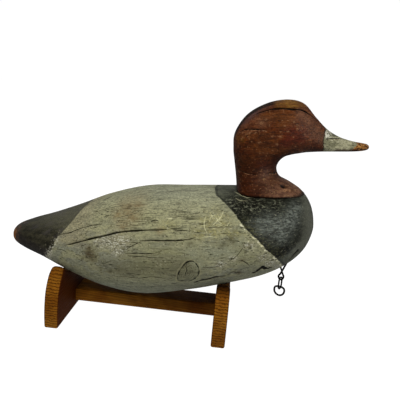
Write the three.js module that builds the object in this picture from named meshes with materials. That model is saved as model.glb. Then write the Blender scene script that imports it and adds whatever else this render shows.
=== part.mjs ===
// A carved working duck decoy, a redheaded drake in old paint, lying on its wooden display cradle.
// Millimetres, +Z up, bill toward +X. The origin is on the floor under the middle of the whole.
// The body and the head are worked out in the carver's frame, where the back and the bill are level,
// and that frame is then tipped nose up onto the cradle.

import * as THREE from 'three';

// Driving sizes
const NOSE_UP = THREE.MathUtils.degToRad(5.5);   // tilt of the duck on its cradle
const DUCK_X = 18.05;                            // place of the carver's zero along the floor
const DUCK_Z = 1.5;                              // and above it
const FIT_GAP = 0.35;                            // air left where one piece rests on another

const TAIL_TIP = -200;
const BREAST_TIP = 136.5;
const SECTION_POWER = { top: 2.35, bottom: 2.15 };   // 2 is an ellipse, more is boxier

// The body's stations, tail to breast: top line, bottom line, half width, height of the widest line
const BODY_STATIONS = [
  { x: TAIL_TIP, top: 92, bottom: 92, half: 0, widest: 92 },
  { x: -194, top: 103, bottom: 83.5, half: 17, widest: 92.5 },
  { x: -180, top: 108.5, bottom: 77.5, half: 30, widest: 92 },
  { x: -155, top: 115, bottom: 69.5, half: 47, widest: 91.5 },
  { x: -125, top: 124.5, bottom: 56, half: 63, widest: 90 },
  { x: -90, top: 137, bottom: 41.5, half: 76, widest: 89 },
  { x: -50, top: 145.5, bottom: 33, half: 82, widest: 89 },
  { x: 0, top: 146.5, bottom: 38, half: 83, widest: 91 },
  { x: 45, top: 146.5, bottom: 47, half: 79, widest: 94 },
  { x: 85, top: 146.5, bottom: 56, half: 67, widest: 99 },
  { x: 113, top: 145.5, bottom: 69.5, half: 48, widest: 103 },
  { x: 125, top: 141.5, bottom: 80.5, half: 34, widest: 105 },
  { x: 132, top: 131, bottom: 92, half: 20, widest: 106 },
  { x: BREAST_TIP, top: 108, bottom: 108, half: 0, widest: 108 },
];

// The head's sections, seat to bill tip. Each lies between a point of the throat and chin line and
// a point of the nape, crown and bill line. widest is how far across it the full width comes, and
// the two powers shape its throat half and its crown half.
const HEAD_SECTIONS = [
  { throat: [125.5, 141.0], crown: [52.6, 146.5], half: 35, widest: 0.68, powers: [2.3, 3.3] },
  { throat: [120.8, 146.2], crown: [52.3, 151], half: 32.5, widest: 0.64, powers: [2.2, 3.0] },
  { throat: [110.5, 153.3], crown: [51.9, 157.5], half: 28.5, widest: 0.58, powers: [2.1, 2.7] },
  { throat: [98.8, 160.0], crown: [51.1, 166], half: 24, widest: 0.52, powers: [2.0, 2.4] },
  { throat: [95.3, 168.5], crown: [50.0, 176], half: 22.3, widest: 0.5, powers: [2.0, 2.2] },
  { throat: [97.8, 175.5], crown: [48.8, 190], half: 23, widest: 0.48, powers: [2.0, 2.2] },
  { throat: [103.2, 180.6], crown: [50.6, 207], half: 25, widest: 0.46, powers: [2.2, 2.2] },
  { throat: [110.5, 183.0], crown: [63.5, 225.5], half: 27, widest: 0.44, powers: [2.3, 2.2] },
  { throat: [117.5, 184.2], crown: [84, 237.0], half: 27.3, widest: 0.44, powers: [2.3, 2.2] },
  { throat: [124, 185.2], crown: [105, 240.6], half: 25.3, widest: 0.42, powers: [2.3, 2.2] },
  { throat: [130.5, 185.7], crown: [122, 236.4], half: 21, widest: 0.38, powers: [2.4, 2.1] },
  { throat: [138, 186.1], crown: [135.5, 221.4], half: 16.8, widest: 0.34, powers: [2.6, 2.0] },
  { throat: [147.5, 186.3], crown: [147, 209.7], half: 13.8, widest: 0.3, powers: [2.8, 2.0] },
  { throat: [160, 186.4], crown: [160, 201.6], half: 12.6, widest: 0.3, powers: [3.0, 2.0] },
  { throat: [174, 186.6], crown: [174, 197.0], half: 12.2, widest: 0.34, powers: [3.0, 2.0] },
  { throat: [184, 187.2], crown: [184, 195.1], half: 10.6, widest: 0.4, powers: [2.6, 2.0] },
  { throat: [188.9, 188.6], crown: [188.9, 193.8], half: 7.2, widest: 0.45, powers: [2.3, 2.0] },
  { throat: [191, 191.1], crown: [191, 191.1], half: 0, widest: 0.5, powers: [2.0, 2.0] },
];

const BODY_GRID = { rows: 58, columns: 40 };
const NECK_FOOT = 1.5;      // sections below this one are kept clear of the body
const HEAD_GRID = { rows: 48, columns: 28, seatRings: 7 };

const STAND = {
  thickness: 14.3,
  rearX: -119.25,       // middle of the board under the tail
  frontX: 53.4,         // middle of the board under the breast
  footHalf: 74,
  footCorner: 1.5,
  bellyHalf: 75.5,      // the board's widest, a little above the floor
  bellyZ: 27,
  hornHalf: 56,         // sideways reach of the cradle
  hornRound: 12,        // breadth of the horn outside the cradle
  hornDrop: 11,         // how far the horn's shoulder lies below its tip
  sideSteps: 7,         // facets in each stretch of the side
  cradleSteps: 10,
};

// How far the curves of a board's side are pulled out and up from the belly, shoulder and tip
const PULLS = { belowBelly: [1, -10.8], aboveBelly: [-0.7, 12], shoulder: [4.5, -6.6], tip: [4.2, 0.5] };

const RAIL = { half: 16, bottom: 7.3, thickness: 14.3 };

// The line tie hangs plumb under the breast. Each loop is turned about its plumb line, in degrees.
const TIE = { x: 116.3, frontLegX: 124.6, rearLegX: 110.8, neckZ: 64.3, neckHalf: 1.3, lay: 1.35 };
const EYE = { radius: 1.1, half: 2.7, top: 59.7, bottom: 53.3, turn: -35, steps: 46 };
const LINK = { radius: 0.95, half: 2.5, top: 55.9, bottom: 42.3, turn: 50, steps: 22 };
const RING = { radius: 1.15, half: 5.9, top: 44.8, bottom: 34.5, turn: -24, steps: 28 };
const EYE_ARC = { start: 115, sweep: 310, points: 8 };   // degrees, from one leg round to the other
const RING_TOP = { squareness: 0.9, flatness: 0.62 };    // powers of the ring's upper half
const LINK_POINTS = 12;
const RING_POINTS = 16;
const WIRE_SIDES = 6;

const PAINT = {
  body: { color: 0x8a8b78, roughness: 0.6, metalness: 0 },
  head: { color: 0x5a2a1c, roughness: 0.5, metalness: 0 },
  iron: { color: 0x1c1c1a, roughness: 0.6, metalness: 0.8 },
  varnish: { color: 0x9a5a22, roughness: 0.35, metalness: 0 },
};

// A smooth curve through the values at the knots, with slopes from the neighbouring knots
function smooth(knots, values, at) {
  const last = knots.length - 1;
  const t = Math.min(Math.max(at, knots[0]), knots[last]);
  let i = 0;
  while (i < last - 1 && t > knots[i + 1]) i += 1;
  const slope = (k) => {
    if (k === 0) return (values[1] - values[0]) / (knots[1] - knots[0]);
    if (k === last) return (values[last] - values[last - 1]) / (knots[last] - knots[last - 1]);
    const before = knots[k] - knots[k - 1];
    const after = knots[k + 1] - knots[k];
    const rise = before * before * (values[k + 1] - values[k]) + after * after * (values[k] - values[k - 1]);
    return rise / (before * after * (before + after));
  };
  const span = knots[i + 1] - knots[i];
  const u = (t - knots[i]) / span;
  const rest = 1 - u;
  return values[i] * rest * rest * (1 + 2 * u) + values[i + 1] * u * u * (3 - 2 * u)
    + span * u * rest * (slope(i) * rest - slope(i + 1) * u);
}

// One closed mesh from rings of points. A ring of one point is a pole; open ends are closed by
// making the first and the last ring a pole, and wrapped rings join the last one to the first.
function skin(rings, wrapped = false) {
  const positions = [];
  const starts = [];
  for (const ring of rings) {
    starts.push(positions.length / 3);
    for (const point of ring) positions.push(point.x, point.y, point.z);
  }
  const indices = [];
  const pairs = wrapped ? rings.length : rings.length - 1;
  for (let i = 0; i < pairs; i += 1) {
    const next = (i + 1) % rings.length;
    const count = Math.max(rings[i].length, rings[next].length);
    for (let j = 0; j < count; j += 1) {
      const k = (j + 1) % count;
      const here = (n) => starts[i] + (rings[i].length > 1 ? n : 0);
      const there = (n) => starts[next] + (rings[next].length > 1 ? n : 0);
      if (rings[i].length > 1) indices.push(here(j), here(k), there(k));
      if (rings[next].length > 1) indices.push(here(j), there(k), there(j));
    }
  }
  const geometry = new THREE.BufferGeometry();
  geometry.setAttribute('position', new THREE.Float32BufferAttribute(positions, 3));
  geometry.setIndex(indices);
  return geometry;
}

function mesh(name, geometry, finish) {
  geometry.computeVertexNormals();
  const piece = new THREE.Mesh(geometry, new THREE.MeshStandardMaterial(finish));
  piece.name = name;
  return piece;
}

// A number raised to a power with its sign kept
const signedPower = (value, power) => Math.sign(value) * Math.abs(value) ** power;

// Body
const bodyMiddle = (TAIL_TIP + BREAST_TIP) / 2;
const bodyReach = (BREAST_TIP - TAIL_TIP) / 2;

// Stations are spaced by the angle of a half turn from tail to breast, which rounds both ends
const bodyAngle = (x) => Math.acos(THREE.MathUtils.clamp((bodyMiddle - x) / bodyReach, -1, 1));
const bodyKnots = BODY_STATIONS.map((station) => bodyAngle(station.x));

function bodyStation(angle) {
  const value = (key) => smooth(bodyKnots, BODY_STATIONS.map((station) => station[key]), angle);
  return {
    x: bodyMiddle - bodyReach * Math.cos(angle),
    top: value('top'),
    bottom: value('bottom'),
    half: value('half'),
    widest: value('widest'),
  };
}

function bodyRing(angle) {
  const station = bodyStation(angle);
  const ring = [];
  for (let j = 0; j < BODY_GRID.columns; j += 1) {
    const turn = (2 * Math.PI * j) / BODY_GRID.columns;
    const upper = Math.sin(turn) > 0;
    const power = 2 / (upper ? SECTION_POWER.top : SECTION_POWER.bottom);
    const height = upper ? station.top - station.widest : station.widest - station.bottom;
    const y = station.half * signedPower(Math.cos(turn), power);
    const z = station.widest + height * signedPower(Math.sin(turn), power);
    ring.push(new THREE.Vector3(station.x, y, z));
  }
  return ring;
}

function bodyGeometry() {
  const rings = [[new THREE.Vector3(TAIL_TIP, 0, BODY_STATIONS[0].top)]];
  for (let i = 1; i < BODY_GRID.rows; i += 1) rings.push(bodyRing((Math.PI * i) / BODY_GRID.rows));
  rings.push([new THREE.Vector3(BREAST_TIP, 0, BODY_STATIONS.at(-1).top)]);
  return skin(rings);
}

// Height of the body's surface over a point of the carver's plan, on its back or its underside
function bodyHeight(x, y, underside = false) {
  const station = bodyStation(bodyAngle(x));
  const power = underside ? SECTION_POWER.bottom : SECTION_POWER.top;
  const across = Math.min(Math.abs(y) / Math.max(station.half, 1e-6), 1);
  const share = (1 - across ** power) ** (1 / power);
  const edge = underside ? station.bottom : station.top;
  return station.widest + (edge - station.widest) * share;
}

// Head
const headKnots = HEAD_SECTIONS.map((section, index) => index);

function headSection(at) {
  const value = (read) => smooth(headKnots, HEAD_SECTIONS.map(read), at);
  return {
    throat: new THREE.Vector3(value((s) => s.throat[0]), 0, value((s) => s.throat[1])),
    crown: new THREE.Vector3(value((s) => s.crown[0]), 0, value((s) => s.crown[1])),
    half: value((s) => s.half),
    widest: value((s) => s.widest),
    powers: [value((s) => s.powers[0]), value((s) => s.powers[1])],
  };
}

function headRing(at, shrink = 1) {
  const section = headSection(at);
  const ring = [];
  const across = section.crown.clone().sub(section.throat);
  for (let j = 0; j < HEAD_GRID.columns; j += 1) {
    const turn = (2 * Math.PI * j) / HEAD_GRID.columns;
    const crownSide = Math.cos(turn) < 0;
    const power = 2 / section.powers[crownSide ? 1 : 0];
    const reach = crownSide ? 1 - section.widest : section.widest;
    const along = section.widest - reach * signedPower(Math.cos(turn), power) * shrink;
    const point = section.throat.clone().addScaledVector(across, along);
    point.y = section.half * signedPower(Math.sin(turn), power) * shrink;
    const seat = bodyHeight(point.x, point.y) + FIT_GAP;
    if (at < NECK_FOOT && point.z < seat + at) point.z = seat + at;
    ring.push(point);
  }
  return ring;
}

// The head's underside follows the body's back, with a little air between them
function seatRing(shrink) {
  const ring = headRing(0, shrink);
  for (const point of ring) point.z = bodyHeight(point.x, point.y) + FIT_GAP;
  return ring;
}

function headGeometry() {
  const section = headSection(0);
  const centre = section.throat.clone().lerp(section.crown, section.widest);
  centre.z = bodyHeight(centre.x, 0) + FIT_GAP;
  const rings = [[centre]];
  for (let i = 1; i <= HEAD_GRID.seatRings; i += 1) {
    rings.push(seatRing(Math.sin((Math.PI / 2) * (i / HEAD_GRID.seatRings))));
  }
  const last = HEAD_SECTIONS.length - 1;
  for (let i = 1; i < HEAD_GRID.rows; i += 1) rings.push(headRing((last * i) / HEAD_GRID.rows));
  rings.push([headSection(last).throat]);
  return skin(rings);
}

// Stand
const toFloorFrame = new THREE.Matrix4().makeTranslation(DUCK_X, 0, DUCK_Z)
  .multiply(new THREE.Matrix4().makeRotationY(-NOSE_UP));

// Height above the floor of the duck's underside, found by stepping along the tipped frame
const SETTLING_PASSES = 8;

function undersideZ(x, y) {
  const point = new THREE.Vector3();
  let carverX = x - DUCK_X;
  for (let pass = 0; pass < SETTLING_PASSES; pass += 1) {
    point.set(carverX, y, bodyHeight(carverX, y, true)).applyMatrix4(toFloorFrame);
    carverX += x - point.x;
  }
  return point.z;
}

// An end board, drawn in the plane across the duck and cut square to fit the duck's belly
function endBoardGeometry(middleX) {
  const { thickness, footHalf, footCorner, bellyHalf, bellyZ, hornHalf, hornRound, hornDrop } = STAND;
  const cradle = (y) => {
    const faces = [middleX - thickness / 2, middleX + thickness / 2];
    return Math.min(...faces.map((x) => undersideZ(x, y))) - FIT_GAP;
  };
  const at = (y, z) => new THREE.Vector2(y, z);
  const pulled = (point, [y, z]) => at(point.x + y, point.y + z);
  const belly = at(bellyHalf, bellyZ);
  const tip = at(hornHalf, cradle(hornHalf));
  const shoulder = pulled(tip, [hornRound, -hornDrop]);
  const side = new THREE.CurvePath();
  side.add(new THREE.QuadraticBezierCurve(at(footHalf, footCorner), pulled(belly, PULLS.belowBelly), belly));
  side.add(new THREE.CubicBezierCurve(
    belly, pulled(belly, PULLS.aboveBelly), pulled(shoulder, PULLS.shoulder), shoulder));
  side.add(new THREE.QuadraticBezierCurve(shoulder, pulled(tip, PULLS.tip), tip));
  const half = [at(footHalf - footCorner, 0), ...side.getPoints(STAND.sideSteps)];
  for (let i = 1; i < STAND.cradleSteps; i += 1) {
    const y = hornHalf * Math.cos((Math.PI * i) / STAND.cradleSteps / 2);
    half.push(at(y, cradle(y)));
  }
  const middle = at(0, cradle(0));
  const mirrored = half.map((point) => at(-point.x, point.y)).reverse();
  const outline = new THREE.Shape([...half, middle, ...mirrored]);
  const board = new THREE.ExtrudeGeometry(outline, { depth: thickness, bevelEnabled: false });
  board.rotateX(Math.PI / 2);
  board.rotateZ(Math.PI / 2);
  board.translate(middleX - thickness / 2, 0, 0);
  return board;
}

function railGeometry() {
  const from = STAND.rearX + STAND.thickness / 2 + FIT_GAP;
  const to = STAND.frontX - STAND.thickness / 2 - FIT_GAP;
  const rail = new THREE.BoxGeometry(to - from, 2 * RAIL.half, RAIL.thickness);
  rail.translate((from + to) / 2, 0, RAIL.bottom + RAIL.thickness / 2);
  return rail;
}

// Line tie: round wire carried along a curve, closed on itself or with flat ends
function wireGeometry(points, closed, radius, steps) {
  const curve = new THREE.CatmullRomCurve3(points, closed, 'centripetal');
  const frames = curve.computeFrenetFrames(steps, closed);
  const rings = [];
  for (let i = 0; i < steps + (closed ? 0 : 1); i += 1) {
    const ring = [];
    for (let j = 0; j < WIRE_SIDES; j += 1) {
      const turn = (2 * Math.PI * j) / WIRE_SIDES;
      const point = curve.getPointAt(i / steps);
      point.addScaledVector(frames.normals[i], radius * Math.cos(turn));
      point.addScaledVector(frames.binormals[i], radius * Math.sin(turn));
      ring.push(point);
    }
    rings.push(ring);
  }
  if (closed) return skin(rings, true);
  return skin([[curve.getPointAt(0)], ...rings, [curve.getPointAt(1)]]);
}

// A point of an upright loop that is turned about the plumb line
function loopPoint(across, z, turnDegrees, lay = 0) {
  const turn = THREE.MathUtils.degToRad(turnDegrees);
  const x = TIE.x + across * Math.cos(turn) - lay * Math.sin(turn);
  const y = across * Math.sin(turn) + lay * Math.cos(turn);
  return new THREE.Vector3(x, y, z);
}

function tieWireGeometry() {
  const { half, top, bottom, turn, radius, steps } = EYE;
  const legTop = (x) => new THREE.Vector3(x, 0, undersideZ(x, 0) - radius - FIT_GAP);
  const points = [legTop(TIE.frontLegX), loopPoint(TIE.neckHalf, TIE.neckZ, turn, -TIE.lay)];
  // Round the eye from its crossing, down one side and up the other
  const middle = (top + bottom) / 2;
  const rise = (top - bottom) / 2;
  for (let i = 0; i <= EYE_ARC.points; i += 1) {
    const share = i / EYE_ARC.points;
    const angle = THREE.MathUtils.degToRad(EYE_ARC.start + EYE_ARC.sweep * share);
    const lay = TIE.lay * (2 * share - 1);
    points.push(loopPoint(half * Math.cos(angle), middle + rise * Math.sin(angle), turn, lay));
  }
  points.push(loopPoint(-TIE.neckHalf, TIE.neckZ, turn, TIE.lay), legTop(TIE.rearLegX));
  return wireGeometry(points, false, radius, steps);
}

function linkGeometry() {
  const { half, top, bottom, turn, radius, steps } = LINK;
  const points = [];
  for (let i = 0; i < LINK_POINTS; i += 1) {
    const angle = (2 * Math.PI * (i + 0.5)) / LINK_POINTS;
    const end = Math.sin(angle) > 0 ? top - half : bottom + half;
    points.push(loopPoint(half * Math.cos(angle), end + half * Math.sin(angle), turn));
  }
  return wireGeometry(points, true, radius, steps);
}

// The ring is round below and nearly flat across the top, where the link holds it
function ringGeometry() {
  const { half, top, bottom, turn, radius, steps } = RING;
  const centreZ = bottom + half;
  const points = [];
  for (let i = 0; i < RING_POINTS; i += 1) {
    const angle = (2 * Math.PI * (i + 0.5)) / RING_POINTS;
    const above = Math.sin(angle) > 0;
    const across = half * signedPower(Math.cos(angle), above ? RING_TOP.squareness : 1);
    const rise = above ? (top - centreZ) * Math.sin(angle) ** RING_TOP.flatness : half * Math.sin(angle);
    points.push(loopPoint(across, centreZ + rise, turn));
  }
  return wireGeometry(points, true, radius, steps);
}

// Assembly
const duck = new THREE.Group();
duck.add(mesh('body', bodyGeometry(), PAINT.body));
duck.add(mesh('head', headGeometry(), PAINT.head));
duck.rotation.y = -NOSE_UP;
duck.position.set(DUCK_X, 0, DUCK_Z);

const lineTie = new THREE.Group();
lineTie.add(mesh('line_tie_wire', tieWireGeometry(), PAINT.iron));
lineTie.add(mesh('swivel_link', linkGeometry(), PAINT.iron));
lineTie.add(mesh('anchor_ring', ringGeometry(), PAINT.iron));

const stand = new THREE.Group();
stand.add(mesh('stand_end_rear', endBoardGeometry(STAND.rearX), PAINT.varnish));
stand.add(mesh('stand_end_front', endBoardGeometry(STAND.frontX), PAINT.varnish));
stand.add(mesh('stand_rail', railGeometry(), PAINT.varnish));

const decoy = new THREE.Group();
decoy.add(duck, lineTie, stand);

export default decoy;
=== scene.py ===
"""A carved and painted duck decoy on its wooden cradle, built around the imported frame.

Shapes are worked out with numpy in the carver's frame, in millimetres, where the duck's back and
bill are level, and are then tipped nose up onto the cradle and put into metres.
"""

import math

import bpy
import numpy as np
from mathutils import Matrix, Vector


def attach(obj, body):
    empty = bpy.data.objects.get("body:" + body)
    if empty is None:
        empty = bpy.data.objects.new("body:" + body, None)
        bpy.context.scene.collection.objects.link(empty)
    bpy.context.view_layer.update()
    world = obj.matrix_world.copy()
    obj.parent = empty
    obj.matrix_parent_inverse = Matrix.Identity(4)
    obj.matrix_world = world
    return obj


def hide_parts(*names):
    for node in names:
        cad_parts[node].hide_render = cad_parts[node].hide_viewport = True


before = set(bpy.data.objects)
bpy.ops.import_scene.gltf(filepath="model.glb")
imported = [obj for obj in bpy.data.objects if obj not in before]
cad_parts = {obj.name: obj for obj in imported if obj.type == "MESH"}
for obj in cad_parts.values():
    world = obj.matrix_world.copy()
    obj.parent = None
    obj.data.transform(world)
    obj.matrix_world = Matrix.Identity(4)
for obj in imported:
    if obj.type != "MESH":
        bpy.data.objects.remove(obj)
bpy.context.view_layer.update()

bl_info = {
    "name": "Duck decoy",
    "version": (1, 0, 0),
    "blender": (4, 5, 0),
    "location": "View3D > Sidebar > Decoy",
    "description": "Builds a carved, painted and weathered duck decoy on its cradle",
    "category": "Object",
}

MM = 0.001

# Where the duck lies on its cradle
NOSE_UP = math.radians(5.5)
DUCK_X = 18.05
DUCK_Z = 1.5
FIT_GAP = 0.35

# The body's stations, tail to breast: x, top line, bottom line, half width, height of the widest line
TAIL_TIP = -200.0
BREAST_TIP = 136.5
BODY_STATIONS = np.array([
    (TAIL_TIP, 92, 92, 0, 92),
    (-194, 103, 83.5, 17, 92.5),
    (-180, 108.5, 77.5, 30, 92),
    (-155, 115, 69.5, 47, 91.5),
    (-125, 124.5, 56, 63, 90),
    (-90, 137, 41.5, 76, 89),
    (-50, 145.5, 33, 82, 89),
    (0, 146.5, 38, 83, 91),
    (45, 146.5, 47, 79, 94),
    (85, 146.5, 56, 67, 99),
    (113, 145.5, 69.5, 48, 103),
    (125, 141.5, 80.5, 34, 105),
    (132, 131, 92, 20, 106),
    (BREAST_TIP, 108, 108, 0, 108),
])
TOP_POWER = 2.35
BOTTOM_POWER = 2.15

# The body's grid, and the places round it, in degrees, where splits want its columns closest
BODY_ROWS = 468
BODY_COLUMNS = 202
LONG_SPLIT_GIRTH = 63.0
SPLIT_GIRTHS = (LONG_SPLIT_GIRTH, 74.0, 85.5, 108.0, 284.0)

# The head's sections, seat to bill tip: throat x and z, crown x and z, half width, how far across
# the widest point lies, and the powers of the throat half and the crown half
HEAD_SECTIONS = np.array([
    (125.5, 141.0, 52.6, 146.5, 35, 0.68, 2.3, 3.3),
    (120.8, 146.2, 52.3, 151, 32.5, 0.64, 2.2, 3.0),
    (110.5, 153.3, 51.9, 157.5, 28.5, 0.58, 2.1, 2.7),
    (98.8, 160.0, 51.1, 166, 24, 0.52, 2.0, 2.4),
    (95.3, 168.5, 50.0, 176, 22.3, 0.5, 2.0, 2.2),
    (97.8, 175.5, 48.8, 190, 23, 0.48, 2.0, 2.2),
    (103.2, 180.6, 50.6, 207, 25, 0.46, 2.2, 2.2),
    (110.5, 183.0, 63.5, 225.5, 27, 0.44, 2.3, 2.2),
    (117.5, 184.2, 84, 237.0, 27.3, 0.44, 2.3, 2.2),
    (124, 185.2, 105, 240.6, 25.3, 0.42, 2.3, 2.2),
    (130.5, 185.7, 122, 236.4, 21, 0.38, 2.4, 2.1),
    (138, 186.1, 135.5, 221.4, 16.8, 0.34, 2.6, 2.0),
    (147.5, 186.3, 147, 209.7, 13.8, 0.3, 2.8, 2.0),
    (160, 186.4, 160, 201.6, 12.6, 0.3, 3.0, 2.0),
    (174, 186.6, 174, 197.0, 12.2, 0.34, 3.0, 2.0),
    (184, 187.2, 184, 195.1, 10.6, 0.4, 2.6, 2.0),
    (188.9, 188.6, 188.9, 193.8, 7.2, 0.45, 2.3, 2.0),
    (191, 191.1, 191, 191.1, 0, 0.5, 2.0, 2.0),
])
NECK_FOOT = 1.5

# The head's grid, and the degrees round it at which the split over its crown runs
HEAD_ROWS = 290
HEAD_COLUMNS = 210
SEAT_ROWS = 12
CROWN_SPLIT_TURN = 212.0
# Where the long split over the crown runs: section, degrees from the crown's ridge
CROWN_SPLIT_RUN = np.array([(6.0, 9), (6.5, 14), (7, 21), (8, 32), (9, 40), (9.7, 44), (10.3, 38),
                            (11, 28), (12, 24)])

# Splits and checks in the wood, as side-view points x, z in the carver's frame, with the half
# width of the opening, its depth, and the side of the duck it is on (-1 is the right side)
LONG_SPLIT = [(-121, 97.5), (-110.5, 101.3), (-101, 104.4), (-91.5, 107.5), (-82.6, 110.2),
              (-73.6, 112.8), (-65, 115), (-56.7, 116.6), (-48.3, 117.6), (-36, 118.5), (-23.6, 119.1),
              (-12.5, 119.4)]
BODY_SPLITS = [
    (LONG_SPLIT, 0.92, 3.0, -1),
    ([(-7, 118.9), (-1, 118.7), (6.9, 118.8)], 0.55, 1.2, -1),
    ([(-131, 106.8), (-124, 108.3), (-117.4, 110.2), (-109.2, 113.3), (-98.6, 117.5), (-88.1, 120.1),
      (-79, 121.8)], 0.62, 1.0, -1),
    ([(-40, 108.7), (-27, 109.6), (-15, 109.7), (1, 109.9), (9, 111.2), (15, 113)], 0.66, 1.8, -1),
    ([(-54, 100), (-47.6, 103.5), (-42.6, 106.2), (-38.5, 107.7)], 0.45, 0.5, -1),
    ([(-57, 95.3), (-49, 96.1), (-42, 96.2), (-31, 96.8), (-19, 98.3)], 0.45, 0.5, -1),
    ([(-48, 92.5), (-35, 93), (-24.6, 92.9), (-14.5, 93.7)], 0.4, 0, -1),
    ([(-66, 70.4), (-53, 70.4), (-42.5, 70), (-28, 72), (-20, 70.8), (-11, 69.5), (-6, 72.5)],
     0.42, 0, -1),
    ([(-29, 61), (-20, 60.6)], 0.4, 0, -1),
    ([(-83, 82.2), (-75, 84.9), (-67, 89)], 0.32, 0, -1),
    ([(-130, 92.5), (-123.5, 93.3), (-115.6, 90.5)], 0.4, 0, -1),
    ([(-90, 129.6), (-80, 132.8), (-71, 134.7), (-62, 136.5), (-54, 137.4)], 0.45, 0, -1),
    ([(-66, 133), (-61.9, 133.9), (-49.1, 134.6), (-40.8, 136.2)], 0.36, 0, -1),
    ([(-66, 126.8), (-55, 129.5), (-45, 131.6)], 0.36, 0, -1),
    ([(5.8, 87.5), (4.9, 84.2), (5.6, 80.2), (4.1, 76), (3.5, 72.7)], 0.5, 0.4, -1),
    ([(-43, 144.8), (-33, 145.4), (-23, 145.6), (-10, 145.9), (2, 145.9)], 0.6, 0, -1),
    ([(-90, 135.8), (-86.6, 136.9), (-84, 137.9), (-81, 139)], 1.1, 0, -1),
    ([(-38, 139.4), (-29.5, 139.8)], 0.4, 0, -1),
    ([(-8.5, 139.4), (-1.5, 139.8)], 0.4, 0, -1),
    ([(-30, 125.2), (-25.3, 126.8), (-22.5, 126)], 0.75, 0, -1),
    ([(-9.9, 128.6), (-4.8, 129.7), (2.7, 130.4)], 0.42, 0, -1),
    ([(7.5, 131.6), (12.8, 132.1), (16.2, 132.9), (17.4, 134.2)], 0.5, 0, -1),
    ([(12.5, 117.2), (19, 116.8)], 0.35, 0, -1),
    ([(44, 88), (50.7, 92), (57, 97.6), (60.2, 103.2), (59.3, 107.4)], 0.36, 0, -1),
    ([(20.5, 83.4), (31.5, 83.3), (38.2, 84)], 0.4, 0, -1),
    ([(54, 89), (59.5, 88.4), (63.6, 85.7), (67, 81)], 0.5, 0, -1),
    ([(45, 73.7), (50.7, 76.2), (55.6, 75.1), (61, 73.8)], 0.5, 0, -1),
    ([(68, 71), (73.5, 72), (76.3, 75), (79.6, 77.6), (83, 74.9), (89.5, 74.6)], 2.3, 2.0, -1),
    ([(11, 63), (17.9, 66.3), (25.6, 68.1), (32.1, 70.4), (43.5, 71.6)], 1.35, 0.6, -1),
    ([(25, 121.3), (37, 121.7), (52, 121.4)], 0.5, 0, -1),
    ([(-118, 99), (-80, 104), (-42, 106), (-6, 105)], 0.6, 2.0, 1),
    ([(-30, 84), (4, 83), (40, 86)], 0.35, 0, 1),
    ([(10, 124), (34, 123), (52, 121)], 0.35, 0, 1),
    ([(-96, 124), (-70, 130), (-48, 132)], 0.35, 0, 1),
    ([(-60, 72), (-38, 70), (-12, 72)], 0.35, 0, 1),
]
# An old slot low on the breast, and a knot on the right side, whose outline is a groove
OLD_TIE_SLOT = [(108, 79.2), (111.2, 82.6), (114, 85.6), (115.7, 87.2)]
SLOT_HALF = 4.0
SLOT_DEPTH = 2.0
KNOT_OUTLINE = [(-3.8, 69), (-3.6, 73.5), (-1.5, 79), (2.5, 85), (7.5, 89.4), (12.5, 89.3), (16.8, 84.5),
                (17.3, 77), (14, 70.4), (8, 66), (1, 66.2), (-2.8, 66.4), (-3.8, 69)]
KNOT_GROOVE_DEPTH = 0.55
KNOT_GROOVE_WIDTH = 0.8

# Scratches down to paler paint on the right side: points x, z, and half width
PALE_SCRATCHES = [
    ([(23.7, 130.8), (22.5, 126.7), (22.3, 122.3), (23.8, 118.6), (25.8, 116)], 0.42),
    ([(29.6, 122), (33.2, 125.4), (38, 129.6), (41, 134.4)], 0.38),
    ([(33, 129.8), (36.9, 125.5), (40.3, 123.6)], 0.36),
    ([(35, 132.3), (36.3, 129.5), (37.4, 126.3)], 0.3),
    ([(38.4, 128.9), (39.3, 133.9)], 0.3),
    ([(29, 119.6), (36, 121.8), (39.5, 122.9)], 0.26),
    ([(50, 145.7), (54, 145.1), (58, 144), (62, 143.2), (71, 142.7)], 0.5),
    ([(52, 143), (56, 141.4), (64, 140.9)], 0.36),
    ([(27, 126), (29.5, 130.5), (33.5, 132)], 0.28),
    ([(40, 118.6), (44, 121.5), (46.5, 126)], 0.28),
    ([(26, 134), (29, 131), (31, 126.5)], 0.26),
    ([(19, 112.5), (27, 113.5), (36, 112.8)], 0.3),
    ([(-13.8, 128), (-9.2, 128.4)], 0.75),
    ([(67.5, 112.6), (71.3, 109.6)], 0.6),
    ([(74.8, 105.8), (79.8, 101.2)], 0.8),
    ([(64.2, 108.3), (65.6, 107.9)], 0.7),
    ([(-66, 114.2), (-62, 116.2)], 0.7),
]
# Patches of the body's paint on the right side: x, z and radius
BODY_PATCHES = {
    "stain": [(-91.5, 92.5, 8.5), (-87, 89, 5), (-92, 99, 4), (60, 89, 3), (56, 75, 3.5)],
    "rust": [(-57, 134, 12), (-50, 129, 9), (-58, 122, 8), (-47, 138, 9), (-64, 130, 7), (-20, 118, 4)],
    "pale": [(-79, 106, 8), (-67, 107, 10), (-63, 113, 4), (-57, 107, 8), (-62, 98, 6), (66, 104, 5),
             (-143, 86, 6), (96, 74, 5), (87, 82, 7), (80, 90, 5), (38, 86, 5), (50, 92, 4)],
    "mint": [(44, 99, 9), (34, 97, 9), (24, 102, 7), (12, 98, 7), (56, 108, 6), (16, 88, 7)],
    "yellow": [(25, 126, 9), (37, 127, 10), (31, 117, 9), (18, 116, 7), (-13, 122, 6), (50, 116, 9)],
    "smudge": [(-136.1, 95.2, 2.2), (-71.2, 76.4, 2.4), (-26.5, 125.8, 1.7), (38.8, 104.4, 3.0),
               (47.4, 85.2, 1.3), (49.5, 110.5, 4.6), (42.5, 106.5, 3.0), (-100, 86.9, 1.5),
               (9.5, 107.4, 3.0), (-44, 96.4, 1.8), (-69.7, 120.5, 1.2), (-45.3, 119.7, 1.1)],
    "scrubbed": [(50, 139, 12), (62, 134, 13), (74, 137, 10), (60, 122, 6), (92, 137, 6)],
}
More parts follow.
